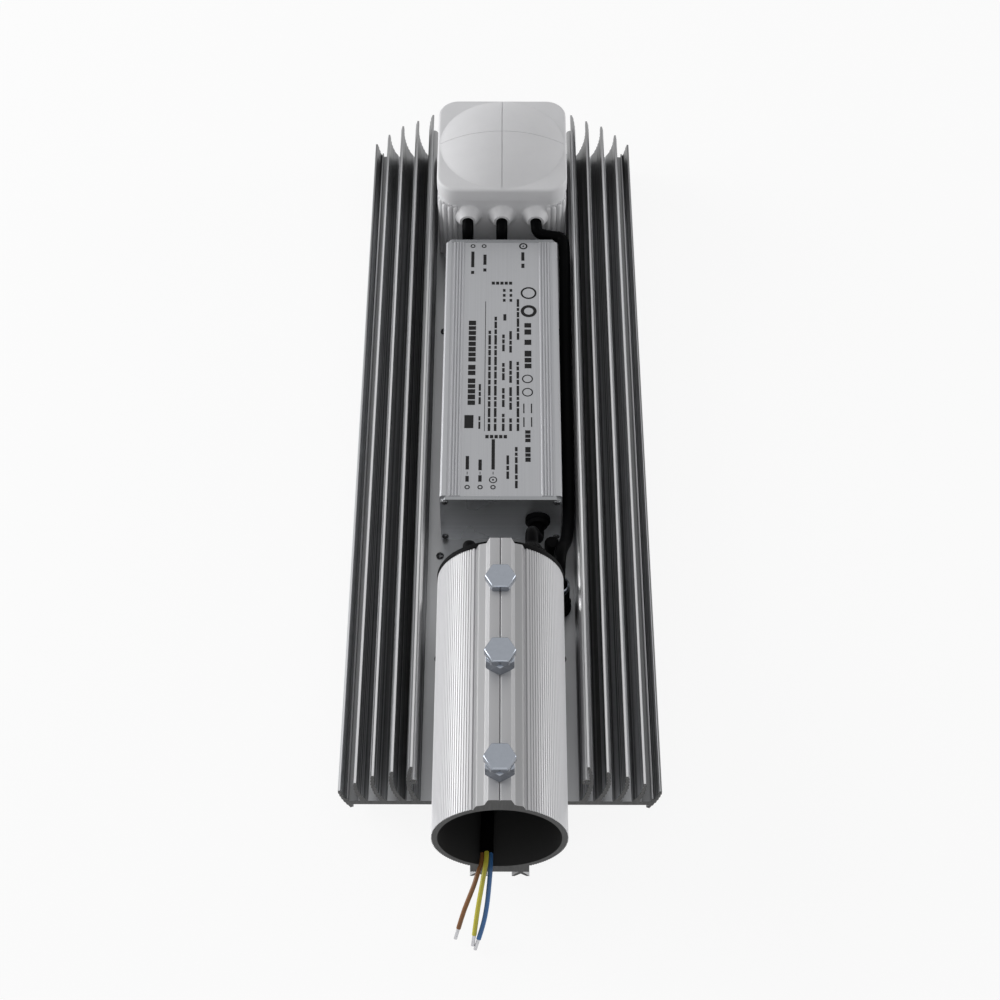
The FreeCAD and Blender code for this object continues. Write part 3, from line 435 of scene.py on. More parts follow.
def core_finish(name, colour):
    """Core insulation, soft plastic with a waxy gloss."""
    material = new_finish(name, colour, roughness=0.38)
    patches = grain(material, (220, 220, 220))
    vary(material, ranged(material, patches, 0.0, 1.0), colour, 0.07)
    roughen(material, patches, 0.3, 0.46)
    raise_relief(material, patches, 0.00003, 0.3)
    return material


def strand_finish():
    """Tinned strands twisted together, as fine slanted ridges."""
    tin = card(196, 196, 199)
    material = new_finish("tinned_strands", tin, metallic=0.9, roughness=0.25)
    twist = grain(material, (2600, 2600, 700), detail=1.0, turn=(0.6, 0.4, 0.0))
    vary(material, ranged(material, twist, 0.0, 1.0), tin, 0.2)
    raise_relief(material, twist, 0.0001, 0.8)
    return material


def lens_finish():
    """Clear moulded lens with faint flow marks."""
    material = new_finish("clear_lens", card(240, 242, 244), roughness=0.08)
    shader = shader_of(material)
    shader.inputs["Transmission Weight"].default_value = 1.0
    shader.inputs["IOR"].default_value = 1.49
    marks = grain(material, (60, 60, 60), detail=2.0)
    roughen(material, marks, 0.05, 0.12)
    raise_relief(material, marks, 0.00005, 0.2)
    return material


def board_finish():
    """White solder mask with slightly raised copper areas under it."""
    material = plastic_finish("board_white", card(232, 233, 230), 0.4, 0.00002)
    areas = grain(material, (90, 90, 90), detail=0.0)
    raise_relief(material, ranged(material, areas, 0.0, 1.0, 0.48, 0.52), 0.00004, 0.5)
    return material


def chip_finish():
    """Yellow phosphor of the light sources, with its fine powder."""
    return plastic_finish("phosphor_yellow", card(226, 196, 70), 0.5, 0.00006, 2200.0)


FINISHES = {}


def finish(name):
    """A finish by its name, made once."""
    if not FINISHES:
        ours = colours()
        FINISHES.update({
            "sink": sink_finish(),
            "tube": tube_finish(),
            "driver": driver_finish(),
            "end_plate": end_plate_finish(),
            "zinc": zinc_finish("zinc_plating", ours.zinc, 1.0),
            "dark_screw": zinc_finish("dark_screws", card(92, 93, 95), 0.7),
            "box": plastic_finish("box_plastic", ours.box, 0.5),
            "black": plastic_finish("black_plastic", ours.black, 0.45, gloss=0.03),
            "rubber": rubber_finish(),
            "brown": core_finish("core_brown", ours.brown),
            "yellow": core_finish("core_yellow", ours.yellow),
            "blue": core_finish("core_blue", ours.blue),
            "strand": strand_finish(),
            "lens": lens_finish(),
            "board": board_finish(),
            "chip": chip_finish(),
            "ink": plastic_finish("driver_ink", ours.ink, 0.55, 0.00002, gloss=0.2),
        })
    return FINISHES[name]


NODE_FINISHES = {
    "sink": ("heat_sink",),
    "tube": ("spigot_tube",),
    "zinc": ("tube_mount_screws", "clamp_bolt_1", "clamp_bolt_2", "clamp_bolt_3", "lock_nut_1", "lock_nut_2"),
    "black": ("tube_end_cap", "cap_gland", "cap_plug", "driver_bushes", "side_gland", "side_gland_nut",
              "sealing_plug"),
    "driver": ("driver_case",),
    "end_plate": ("driver_input_plate", "driver_output_plate"),
    "box": ("control_box", "control_box_lid"),
    "board": ("led_board_1", "led_board_2", "led_board_3"),
    "chip": ("led_chips_1", "led_chips_2", "led_chips_3"),
    "lens": ("lens_plate_1", "lens_plate_2", "lens_plate_3"),
}


# Modelling steps
def leave_edit_mode():
    if bpy.context.mode != "OBJECT":
        bpy.ops.object.mode_set(mode="OBJECT")
    bpy.ops.object.select_all(action="DESELECT")


def work_on(piece):
    """Makes a piece the only selected and active object."""
    leave_edit_mode()
    piece.select_set(True)
    bpy.context.view_layer.objects.active = piece


def settle(piece, name):
    """Names a piece and puts its place, turn and scale into its mesh."""
    work_on(piece)
    bpy.ops.object.transform_apply(location=True, rotation=True, scale=True)
    piece.name = name
    piece.data.name = name
    return piece


def put_on(piece, finish_name, slot, *nodes):
    """Gives a piece its finish, makes it ride and hides the nodes that it stands for; the slot is not used."""
    piece.data.materials.clear()
    piece.data.materials.append(finish(finish_name))
    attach(piece, "root")
    if nodes:
        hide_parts(*nodes)


def dressed(piece, name, angle, finish_name, slot, *nodes):
    """Settles and smooths a piece, gives it its finish and hides the nodes that it stands for; the slot is not
    used.
    """
    settle(piece, name)
    smooth(piece, angle)
    put_on(piece, finish_name, slot, *nodes)


def pick(piece, kind, test):
    """Opens a piece in edit mode and selects its faces, edges or points that pass the test."""
    if bpy.context.mode != "EDIT_MESH":
        work_on(piece)
        bpy.ops.object.mode_set(mode="EDIT")
    bpy.ops.mesh.select_mode(type={"faces": "FACE", "edges": "EDGE", "points": "VERT"}[kind])
    bpy.ops.mesh.select_all(action="DESELECT")
    mesh = bmesh.from_edit_mesh(piece.data)
    elements = {"faces": mesh.faces, "edges": mesh.edges, "points": mesh.verts}[kind]
    elements.ensure_lookup_table()
    for element in elements:
        if test(element):
            element.select_set(True)
    mesh.select_flush_mode()
    bmesh.update_edit_mesh(piece.data)


def upright(edge, least):
    """Whether an edge rises by more than a least height."""
    return abs(edge.verts[0].co.z - edge.verts[1].co.z) > least


def level_with(edge, axis, height):
    """Whether both ends of an edge lie at one height along an axis."""
    return all(abs(vert.co[axis] - height) < 0.00001 for vert in edge.verts)


def clean_up(piece, distance=0.00001):
    """Merges doubles and turns every face outwards."""
    pick(piece, "points", lambda point: True)
    bpy.ops.mesh.remove_doubles(threshold=distance)
    bpy.ops.mesh.select_all(action="SELECT")
    bpy.ops.mesh.normals_make_consistent(inside=False)
    leave_edit_mode()


def smooth(piece, angle=30.0):
    work_on(piece)
    bpy.ops.object.shade_smooth_by_angle(angle=math.radians(angle))


def apply_modifier(piece, kind, name, **values):
    modifier = piece.modifiers.new(name, kind)
    for key, value in values.items():
        setattr(modifier, key, value)
    work_on(piece)
    bpy.ops.object.modifier_apply(modifier=modifier.name)


def draw_line(points, closed=False):
    """Draws a line in a new mesh: each point is extruded from the one before it."""
    leave_edit_mode()
    bpy.ops.mesh.primitive_plane_add(size=0.01, location=(0, 0, 0))
    piece = bpy.context.active_object
    bpy.ops.object.mode_set(mode="EDIT")
    bpy.ops.mesh.select_mode(type="VERT")
    bpy.ops.mesh.select_all(action="SELECT")
    bpy.ops.mesh.merge(type="CENTER")
    bpy.ops.transform.translate(value=points[0])
    for before, after in zip(points, points[1:]):
        step = Vector(after) - Vector(before)
        bpy.ops.mesh.extrude_region_move(TRANSFORM_OT_translate={"value": step})
    if closed:
        ends = (Vector(points[0]), Vector(points[-1]))
        pick(piece, "points", lambda p: min((p.co - end).length for end in ends) < 0.00001)
        bpy.ops.mesh.edge_face_add()
    return piece


def spun(profile, closed=False, steps=48):
    """A solid turned about +Z from a profile of (radius, height) points, all in metres."""
    piece = draw_line([(radius, 0.0, height) for radius, height in profile], closed)
    bpy.ops.mesh.select_all(action="SELECT")
    bpy.ops.mesh.spin(steps=steps, angle=2 * math.pi, center=(0, 0, 0), axis=(0, 0, 1))
    clean_up(piece)
    return piece


def mm_points(points):
    return [tuple(MM * value for value in point) for point in points]


def joined(pieces):
    """Joins pieces into the first of them."""
    leave_edit_mode()
    for piece in pieces:
        piece.select_set(True)
    bpy.context.view_layer.objects.active = pieces[0]
    bpy.ops.object.join()
    return pieces[0]


def copied(piece, offset, name):
    """A copy with its own mesh, moved by an offset that goes into the mesh."""
    twin = piece.copy()
    twin.data = piece.data.copy()
    bpy.context.collection.objects.link(twin)
    twin.location = offset
    return settle(twin, name)


def removed(piece):
    mesh = piece.data
    bpy.data.objects.remove(piece)
    bpy.data.meshes.remove(mesh)


# Studio
WORLD_FILL = 0.46
FLOOR_GLOW = 0.88


class STREETLIGHT_OT_stage(bpy.types.Operator):
    """Sets the camera, the lamps, the world and the floor"""

    bl_idname = "street_light.stage"
    bl_label = "Studio"

    def execute(self, context):
        scene = context.scene
        lens = bpy.data.cameras.new("camera")
        lens.lens = 69.04
        lens.sensor_width = 36.0
        camera = bpy.data.objects.new("camera", lens)
        camera.location = (0.0015, -0.67772, 0.90716)
        camera.rotation_euler = (math.radians(90 - 53.829), 0.0, math.radians(0.18))
        scene.collection.objects.link(camera)
        scene.camera = camera
        scene.view_settings.view_transform = "Standard"
        self.add_lamp("lamp_left", (-2.1, 0.55, 0.55), 1.7, 48.0)
        self.add_lamp("lamp_right", (2.0, 0.35, 0.45), 0.8, 12.0)
        self.add_lamp("lamp_near", (0.1, -1.6, 1.35), 0.8, 1.6)
        self.white_world(scene)
        self.add_floor()
        return {"FINISHED"}

    def add_lamp(self, name, place, size, power):
        """A square soft lamp that faces the object's middle."""
        light = bpy.data.lights.new(name, "AREA")
        light.size = size
        light.energy = power
        lamp = bpy.data.objects.new(name, light)
        lamp.location = place
        lamp.rotation_euler = (Vector((0, 0, 0.05)) - Vector(place)).to_track_quat("-Z", "Y").to_euler()
        bpy.context.scene.collection.objects.link(lamp)

    def white_world(self, scene):
        """Camera, glossy and clear rays meet plain white, and other rays a dimmer one."""
        world = bpy.data.worlds.new("studio")
        scene.world = world
        world.use_nodes = True
        nodes = world.node_tree.nodes
        nodes.clear()
        seen, passed = seen_rays(world)
        lights = []
        for strength in (WORLD_FILL, 1.0):
            light = nodes.new("ShaderNodeBackground")
            light.inputs["Color"].default_value = (1, 1, 1, 1)
            light.inputs["Strength"].default_value = strength
            lights.append(light.outputs[0])
        mix = mixed_shader(world, maths(world, "MAXIMUM", seen, passed), *lights)
        wire(world, mix, nodes.new("ShaderNodeOutputWorld").inputs["Surface"])

    def add_floor(self):
        """A white floor that keeps a soft shadow below the object."""
        leave_edit_mode()
        bpy.ops.mesh.primitive_plane_add(size=12, location=(0, 0, CAD_BOUNDS[0].z - 0.0003))
        floor = settle(bpy.context.active_object, "floor")
        material = new_finish("white_floor", (0.9, 0.9, 0.9), roughness=0.9)
        nodes = material.node_tree.nodes
        glow = nodes.new("ShaderNodeEmission")
        glow.inputs["Color"].default_value = (1, 1, 1, 1)
        glow.inputs["Strength"].default_value = 1.0
        share = times(material, seen_rays(material)[0], FLOOR_GLOW)
        mix = mixed_shader(material, share, shader_of(material).outputs[0], glow.outputs[0])
        wire(material, mix, nodes["Material Output"].inputs["Surface"])
        floor.data.materials.append(material)


# Cords and cables
def cord_curve(name, points, radius, order=3):
    """A round cord along one smooth spline whose control points are the route's points."""
    curve = bpy.data.curves.new(name, "CURVE")
    curve.dimensions = "3D"
    curve.bevel_depth = radius
    curve.bevel_resolution = 5
    curve.use_fill_caps = True
    curve.resolution_u = 16
    spline = curve.splines.new("NURBS")
    spline.points.add(len(points) - 1)
    for point, place in zip(spline.points, mm_points(points)):
        point.co = (*place, 1.0)
    spline.order_u = order
    spline.use_endpoint_u = True
    piece = bpy.data.objects.new(name, curve)
    bpy.context.scene.collection.objects.link(piece)
    return piece


CABLE_RADIUS = 3.5 * MM
CORE_RADIUS = 1.2 * MM
STRAND_RADIUS = 0.9 * MM
JACKET_ROUTE = [(16.5, -102, 73.4), (16.5, -133, 73.4), (13, -159, 46.4), (2.5, -183, 30.3),
                (-4, -207, 28.5), (-6.5, -233, 28.5), (-6.5, -254, 28.5)]
CORE_ROUTES = {
    "brown": [(-8.5, -254, 27.9), (-8.5, -258.5, 27.9), (-10.9, -264.5, 27.4), (-12.4, -269.5, 25.6),
              (-15.2, -274.8, 20.7), (-18.2, -279.8, 13.9), (-20.5, -284.9, 7.0)],
    "yellow": [(-6.5, -254, 29.6), (-6.5, -258.5, 29.6), (-7.6, -264.4, 28.7), (-9, -272, 26.0),
               (-10.4, -278, 20.8), (-11.7, -284, 13.6), (-12.6, -288.6, 7.6)],
    "blue": [(-4.5, -254, 27.9), (-4.5, -258.5, 27.9), (-4.6, -263.4, 27.6), (-5.3, -271, 24.6),
             (-6.2, -278, 19.0), (-8, -285, 11.8), (-10.4, -290.0, 5.8)],
}


class STREETLIGHT_OT_lead(bpy.types.Operator):
    """Lays the mains lead through the tube and lets its three bare cores hang out"""

    bl_idname = "street_light.lead"
    bl_label = "Mains lead"

    def execute(self, context):
        jacket = cord_curve("lead_sheath", JACKET_ROUTE, CABLE_RADIUS)
        put_on(jacket, "rubber", "cable_rubber", "lead_jacket")
        for colour, route in CORE_ROUTES.items():
            core = cord_curve("core_of_" + colour, route, CORE_RADIUS)
            put_on(core, colour, "core_" + colour, "core_" + colour)
            before, last = (Vector(point) for point in route[-2:])
            along = (last - before).normalized()
            ends = [last - along * 0.6, last + along * 2.0, last + along * 4.0, last + along * 6.0]
            strands = cord_curve("strands_of_" + colour, [tuple(end) for end in ends], STRAND_RADIUS)
            put_on(strands, "strand", "core_tip", "core_" + colour + "_tip")
        return {"FINISHED"}


CABLE_ROUTES = {
    "input_cable": [(20.7, -48.5, 31.9), (20.7, -57, 31.9), (20.7, -66, 33.5), (18.4, -76, 52),
                    (16.7, -86, 70), (16.5, -94, 73.4), (16.5, -102, 73.4)],
    "output_cable_left": [(-21, 168.5, 51.2), (-21, 160, 51.0), (-21, 154.5, 47), (-21, 154.5, 36),
                          (-21, 152, 31.9), (-21, 144.5, 31.9)],
    "output_cable_middle": [(0, 168.5, 51.2), (0, 160, 51.0), (0, 154.5, 47), (0, 154.5, 36),
                            (0, 152, 31.9), (0, 144.5, 31.9)],
    "side_cable": [(21, 168.5, 51.2), (21, 158, 50.4), (22.5, 155, 47.5), (29, 154.5, 45.4),
                   (37.5, 154.0, 45.2), (38.6, 145, 45.1), (38.5, 125, 43.9), (38.0, 67, 39.2),
                   (38.2, 7, 39.8), (38.1, -49, 39.2), (36.9, -71.5, 41.6), (32.2, -86.5, 52.0),
                   (31.6, -97.5, 50.5), (31.6, -97.5, 25.65)],
}


class STREETLIGHT_OT_cables(bpy.types.Operator):
    """Runs the fixed cables between the driver, the control box and the glands"""

    bl_idname = "street_light.cables"
    bl_label = "Fixed cables"

    def execute(self, context):
        for node, route in CABLE_ROUTES.items():
            cable = cord_curve(node + "_round", route, CABLE_RADIUS)
            put_on(cable, "rubber", "cable_rubber", node)
        return {"FINISHED"}


class STREETLIGHT_OT_finishes(bpy.types.Operator):
    """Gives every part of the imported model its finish"""

    bl_idname = "street_light.finishes"
    bl_label = "Finishes"

    def execute(self, context):
        for name, nodes in NODE_FINISHES.items():
            for node in nodes:
                node_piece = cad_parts[node]
                if not node_piece.material_slots:
                    node_piece.data.materials.append(finish(name))
                for slot in node_piece.material_slots:
                    slot.material = finish(name)
        return {"FINISHED"}


# Pole tube and its clamp bolts
SHOULDER_EDGE = 12.4
SHOULDER_GROOVE = 0.7
RIDGE_HALF = [(0.5, 40.5), (5.6, 40.5), (7.3, 35.5), (11.2, 34.2)]
FOOT_HALF = [(14.8, -30.17), (14.8, -37.0), (11.7, -37.0), (11.7, -37.6), (15.2, -42.0), (13.6, -42.0),
             (10.6, -39.2), (7.6, -42.0), (6.0, -42.0), (9.5, -37.6), (9.5, -37.0)]


class STREETLIGHT_OT_pole_tube(bpy.types.Operator):
    """Extrudes the pole tube with its ridge, its feet and the fine grooves round it"""

    bl_idname = "street_light.pole_tube"
    bl_label = "Pole tube"

    def execute(self, context):
        radius = TUBE_RADIUS / MM
        pitch = sizes().groove_pitch / MM / radius
        depth = sizes().groove_depth / MM
        shoulder = math.acos(SHOULDER_EDGE / radius)
        margin_turn = sizes().groove_margin / MM / radius
        start = shoulder - margin_turn
        end = -math.acos(FOOT_HALF[0][0] / radius)
        count = int((start - end) / pitch)
        pitch = (start - end) / count

        def on_round(angle, sunk=0.0):
            return (radius - sunk) * math.cos(angle), (radius - sunk) * math.sin(angle)

        parts = []
        for side in (1, -1):
            tooth = [on_round(start - pitch * share, sunk) for share, sunk in
                     ((0, 0), (0.42, 0), (0.56, depth), (0.86, depth), (1.0, 0))]
            teeth = self.half_line(side, tooth)
            bpy.ops.mesh.select_all(action="SELECT")
            bpy.ops.mesh.spin(steps=count - 1, dupli=True, angle=side * pitch * (count - 1),
                              center=(0, 0, 0), axis=(0, -1, 0))
            parts.append(teeth)
            margin = [on_round(shoulder - margin_turn * part / 4, sunk)
                      for part, sunk in enumerate((0, SHOULDER_GROOVE, SHOULDER_GROOVE, 0, 0))]
            parts.append(self.half_line(side, [(0.0, 39.5)] + RIDGE_HALF + margin))
            parts.append(self.half_line(side, FOOT_HALF + [(0.0, -37.0)]))
        leave_edit_mode()
        bpy.ops.mesh.primitive_circle_add(vertices=128, radius=TUBE_BORE, rotation=(math.pi / 2, 0, 0))
        parts.append(settle(bpy.context.active_object, "bore"))
        tube = joined(parts)
        pick(tube, "points", lambda point: True)
        bpy.ops.mesh.remove_doubles(threshold=0.00006)
        bpy.ops.mesh.select_all(action="SELECT")
        run = TUBE_HIGH.y - TUBE_LOW.y
        bpy.ops.mesh.extrude_region_move(TRANSFORM_OT_translate={"value": (0, run, 0)})
        for level in (0.0, run):
            pick(tube, "edges", lambda edge: level_with(edge, 1, level))
            bpy.ops.mesh.fill(use_beauty=True)
        leave_edit_mode()
        tube.location = (0, TUBE_LOW.y, TUBE_AXIS)
        settle(tube, "grooved_tube")
        clean_up(tube, 0.000001)
        corners = RIDGE_HALF + FOOT_HALF[1:]
        pick(tube, "edges", lambda edge: edge.calc_length() > run * 0.9 and any(
            abs(abs(edge.verts[0].co.x) - x * MM) < 0.05 * MM
            and abs(edge.verts[0].co.z - TUBE_AXIS - z * MM) < 0.05 * MM for x, z in corners))
        bpy.ops.mesh.bevel(offset=sizes().ridge_edge, segments=3, profile=0.5, clamp_overlap=True)
        leave_edit_mode()
        smooth(tube, 24)
        put_on(tube, "tube", "tube_metal", "spigot_tube")
        return {"FINISHED"}

    def half_line(self, side, points):
        """One side's stretch of the tube's outline, in millimetres from its axis."""
        return draw_line([(side * x * MM, 0, z * MM) for x, z in points])


HEAD_HEIGHT = 4.6 * MM


def hexagon_piece(profile, turned, closed):
    """A spun solid cut to a hexagon, so that its chamfers meet the flats in arcs."""
    solid = spun(profile, closed, 96)
    leave_edit_mode()
    bpy.ops.mesh.primitive_cylinder_add(
        vertices=6, radius=sizes().hex_across / math.sqrt(3), depth=0.04, rotation=(0, 0, turned))
    prism = settle(bpy.context.active_object, "hexagon")
    apply_modifier(solid, "BOOLEAN", "flats", operation="INTERSECT", solver="EXACT", object=prism)
    removed(prism)
    return solid


class STREETLIGHT_OT_clamp_bolts(bpy.types.Operator):
    """Makes the hexagon bolts with their threads, and the lock nuts under two of them"""

    bl_idname = "street_light.clamp_bolts"
    bl_label = "Clamp bolts"

    def execute(self, context):
        corner = sizes().hex_across / math.sqrt(3)
        flat = sizes().hex_across / 2
        for number in (1, 2, 3):
            name = "clamp_bolt_%d" % number
            low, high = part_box(name)
            middle = (low + high) / 2
            head = high.z - HEAD_HEIGHT
            bolt = joined([self.head(corner), self.threaded_shank(head - low.z)])
            bolt.location = (middle.x, middle.y, head)
            dressed(bolt, "hex_bolt_%d" % number, 24, "zinc", "bolt_steel", name)
        for number in (1, 2):
            name = "lock_nut_%d" % number
            low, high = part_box(name)
            rise = high.z - low.z
            inside = 5.05 * MM
            ring = [(inside, 0), (flat * 0.97, 0), (corner + 0.1 * MM, 0.6 * MM),
                    (corner + 0.1 * MM, rise - 0.6 * MM), (flat * 0.97, rise), (inside, rise)]
            nut = hexagon_piece(ring, 0.0, True)
            nut.location = (0, (low.y + high.y) / 2, low.z)
            dressed(nut, "hex_nut_%d" % number, 24, "zinc", "nut_metal", name)
        return {"FINISHED"}

    def head(self, corner):
        """A hexagon head with rounded corners and a chamfer round its top."""
        leave_edit_mode()
        bpy.ops.mesh.primitive_cylinder_add(
            vertices=6, radius=corner, depth=HEAD_HEIGHT, location=(0, 0, HEAD_HEIGHT / 2),
            rotation=(0, 0, math.radians(30)))
        head = settle(bpy.context.active_object, "bolt_head")
        pick(head, "edges", lambda edge: upright(edge, HEAD_HEIGHT / 2))
        bpy.ops.mesh.bevel(offset=0.7 * MM, segments=3, profile=0.5)
        for level, width in ((HEAD_HEIGHT, 1.2 * MM), (0.0, 0.2 * MM)):
            pick(head, "edges", lambda edge: level_with(edge, 2, level))
            bpy.ops.mesh.bevel(offset=width, segments=4, profile=0.5)
        leave_edit_mode()
        return head

    def threaded_shank(self, reach):
        """A shank below the head whose thread is a run of sharp rings."""
        radius, pitch, depth = 5.0 * MM, sizes().thread_pitch, sizes().thread_depth
        profile = [(0, 0.0), (radius, 0.0), (radius, -1.0 * MM)]
        level = -1.0 * MM
        while level - pitch > -reach + 1.0 * MM:
            profile.append((radius - depth, level - pitch / 2))
            profile.append((radius, level - pitch))
            level -= pitch
        profile += [(radius - 0.3 * MM, -reach + 0.8 * MM), (radius - 1.0 * MM, -reach), (0, -reach)]
        return spun(profile, False, 40)


# Control box
class STREETLIGHT_OT_control_box(bpy.types.Operator):
    """Makes the domed lid of the control box, and the bells and ribs on its wall"""

    bl_idname = "street_light.control_box"
    bl_label = "Control box"

    def execute(self, context):
        middle = (LID_LOW + LID_HIGH) / 2
        side = LID_HIGH.x - LID_LOW.x
        thick = 9.5 * MM
        leave_edit_mode()
        bpy.ops.mesh.primitive_cube_add(size=1, location=(0, 0, thick / 2), scale=(side, side, thick))
        slab = settle(bpy.context.active_object, "lid_slab")
        pick(slab, "edges", lambda edge: upright(edge, thick / 2))
        bpy.ops.mesh.bevel(offset=sizes().lid_corner, segments=10, profile=0.5)
        pick(slab, "edges", lambda e: all(v.co.z > thick * 0.99 for v in e.verts) and len(e.link_faces) == 2
             and any(f.normal.z < 0.5 for f in e.link_faces))
        bpy.ops.mesh.bevel(offset=sizes().lid_edge, segments=4, profile=0.5)
        leave_edit_mode()
        rise = LID_HIGH.z - LID_LOW.z - thick
        dome = self.dome(rise, thick)
        for turned, width, depth in ((0.0, 0.42 * MM, 0.75 * MM), (math.pi / 2, 0.7 * MM, 0.2 * MM)):
            self.scribe(dome, rise, thick, turned, width, depth)
        lid = joined([slab, dome])
        lid.location = (middle.x, middle.y, LID_LOW.z)
        dressed(lid, "domed_lid", 25, "box", "box_plastic", "control_box_lid")
        self.bells()
        self.ribs()
        return {"FINISHED"}

    def scribe(self, dome, rise, level, turned, width, depth):
        """Cuts a hairline over the top of the dome with a thin ring that follows its sphere."""
        sphere = self.sphere(rise)
        profile = [(sphere - depth, -width / 2), (sphere + 2 * MM, -width / 2), (sphere + 2 * MM, width / 2),
                   (sphere - depth, width / 2)]
        cutter = spun(profile, True, 256)
        cutter.rotation_euler = (0, math.pi / 2, turned)
        cutter.location = (0, 0, level + rise - sphere)
        settle(cutter, "scribe_ring")
        apply_modifier(dome, "BOOLEAN", "hairline", operation="DIFFERENCE", solver="EXACT", object=cutter)
        removed(cutter)

    def bells(self):
        """The three soft bulges that the cables leave through."""
        wall = 166.5 * MM
        profile = mm_points([(3.55, -1.0), (9.3, -1.0), (9.3, 0.03), (8.6, 0.3), (8.0, 0.8), (7.5, 1.5),
                             (7.0, 2.3), (6.5, 3.1), (6.0, 3.9), (5.5, 4.6), (5.0, 5.1), (4.5, 5.4),
                             (3.55, 5.5)])
        bells = []
        for x in (-21.0, 0.0, 21.0):
            bell = spun(profile, True, 48)
            set_along_y(bell, False)
            bell.location = (x * MM, wall, 51.2 * MM)
            bells.append(settle(bell, "outlet_bell"))
        dressed(joined(bells), "outlet_bells", 40, "box", "box_plastic")

    def ribs(self):
        """Upright half-round ribs beside the corners of the box's near wall and along its sides."""
        rise = LID_LOW.z - PLATE_TOP - 6.0 * MM
        rib = spun([(0, 0), (1.45 * MM, 0), (1.45 * MM, rise - 1.6 * MM), (1.2 * MM, rise - 0.6 * MM),
                    (0.6 * MM, rise), (0, rise)], False, 20)
        corners = ((28.8, 166.5), (32.1, 167.1), (35.4, 168.9), (37.8, 173.2), (38.5, 177.0), (38.5, 180.4))
        places = [(side * x * MM, y * MM, PLATE_TOP) for side in (-1, 1) for x, y in corners]
        ribs = [copied(rib, place, "box_rib") for place in places]
        removed(rib)
        dressed(joined(ribs), "box_ribs", 40, "box", "box_plastic")

    def sphere(self, rise):
        """The radius of the sphere whose cap is as wide as the dome and this high."""
        return (DOME_RIM ** 2 + rise ** 2) / (2 * rise)

    def dome(self, rise, level):
        """A shallow cap of a sphere whose rim sinks a little below the lid's top."""
        rim, sphere = DOME_RIM, self.sphere(rise)
        points = [(0.0, level + rise)]
        for part in range(1, 25):
            radius = rim * part / 24
            points.append((radius, level + rise - sphere + math.sqrt(sphere ** 2 - radius ** 2)))
        points += [(rim + 0.35 * MM, level - 0.1 * MM), (rim, level - 2 * MM), (0.0, level - 2 * MM)]
        return spun(points, False, 96)


# Small turned pieces
def set_along_y(piece, towards_far_end=True):
    """Turns a piece made about +Z so that it points along the head."""
    piece.rotation_euler = (-math.pi / 2 if towards_far_end else math.pi / 2, 0, 0)


def fluted(radius, depth, flutes, low, high, taper=1.0):
    """A knurled collar: one flute is drawn, repeated round the axis, filled and raised."""
    step = 2 * math.pi / flutes
    shares = ((0, 0), (0.5, 0), (0.62, depth), (0.88, depth), (1, 0))
    points = [((radius - sunk) * math.cos(step * share), (radius - sunk) * math.sin(step * share), low)
              for share, sunk in shares]
    collar = draw_line(points)
    bpy.ops.mesh.select_all(action="SELECT")
    bpy.ops.mesh.spin(steps=flutes - 1, dupli=True, angle=step * (flutes - 1), center=(0, 0, 0),
                      axis=(0, 0, 1))
    bpy.ops.mesh.select_all(action="SELECT")
    bpy.ops.mesh.remove_doubles(threshold=0.00003)
    bpy.ops.mesh.edge_face_add()
    bpy.ops.mesh.extrude_region_move(TRANSFORM_OT_translate={"value": (0, 0, high - low)})
    bpy.ops.transform.resize(value=(taper, taper, 1), center_override=(0, 0, high))
    clean_up(collar)
    apply_modifier(collar, "BEVEL", "edges", width=0.0003, segments=2, limit_method="ANGLE",
                   angle_limit=math.radians(50))
    return collar


def pan_screw(radius, rise):
    """A domed screw head with a cross recess."""
    profile = [(0, rise), (radius * 0.45, rise * 0.97), (radius * 0.75, rise * 0.82),
               (radius * 0.95, rise * 0.5), (radius, rise * 0.2), (radius, -0.3 * MM), (0, -0.3 * MM)]
    head = spun(profile, False, 24)
    leave_edit_mode()
    arm = radius * 0.62
    bars = []
    for span in ((arm, radius * 0.13, rise * 0.6), (radius * 0.13, arm, rise * 0.6)):
        bpy.ops.mesh.primitive_cube_add(size=2, location=(0, 0, rise), scale=span)
        bars.append(settle(bpy.context.active_object, "recess_bar"))
    for bar in bars:
        apply_modifier(head, "BOOLEAN", "recess", operation="DIFFERENCE", solver="EXACT", object=bar)
        removed(bar)
    return head


def screw_set(name, screw, places, finish_name, slot):
    """Copies of one screw at several places, as one piece."""
    heads = [copied(screw, place, name + "_part") for place in places]
    removed(screw)
    dressed(joined(heads), name, 35, finish_name, slot)


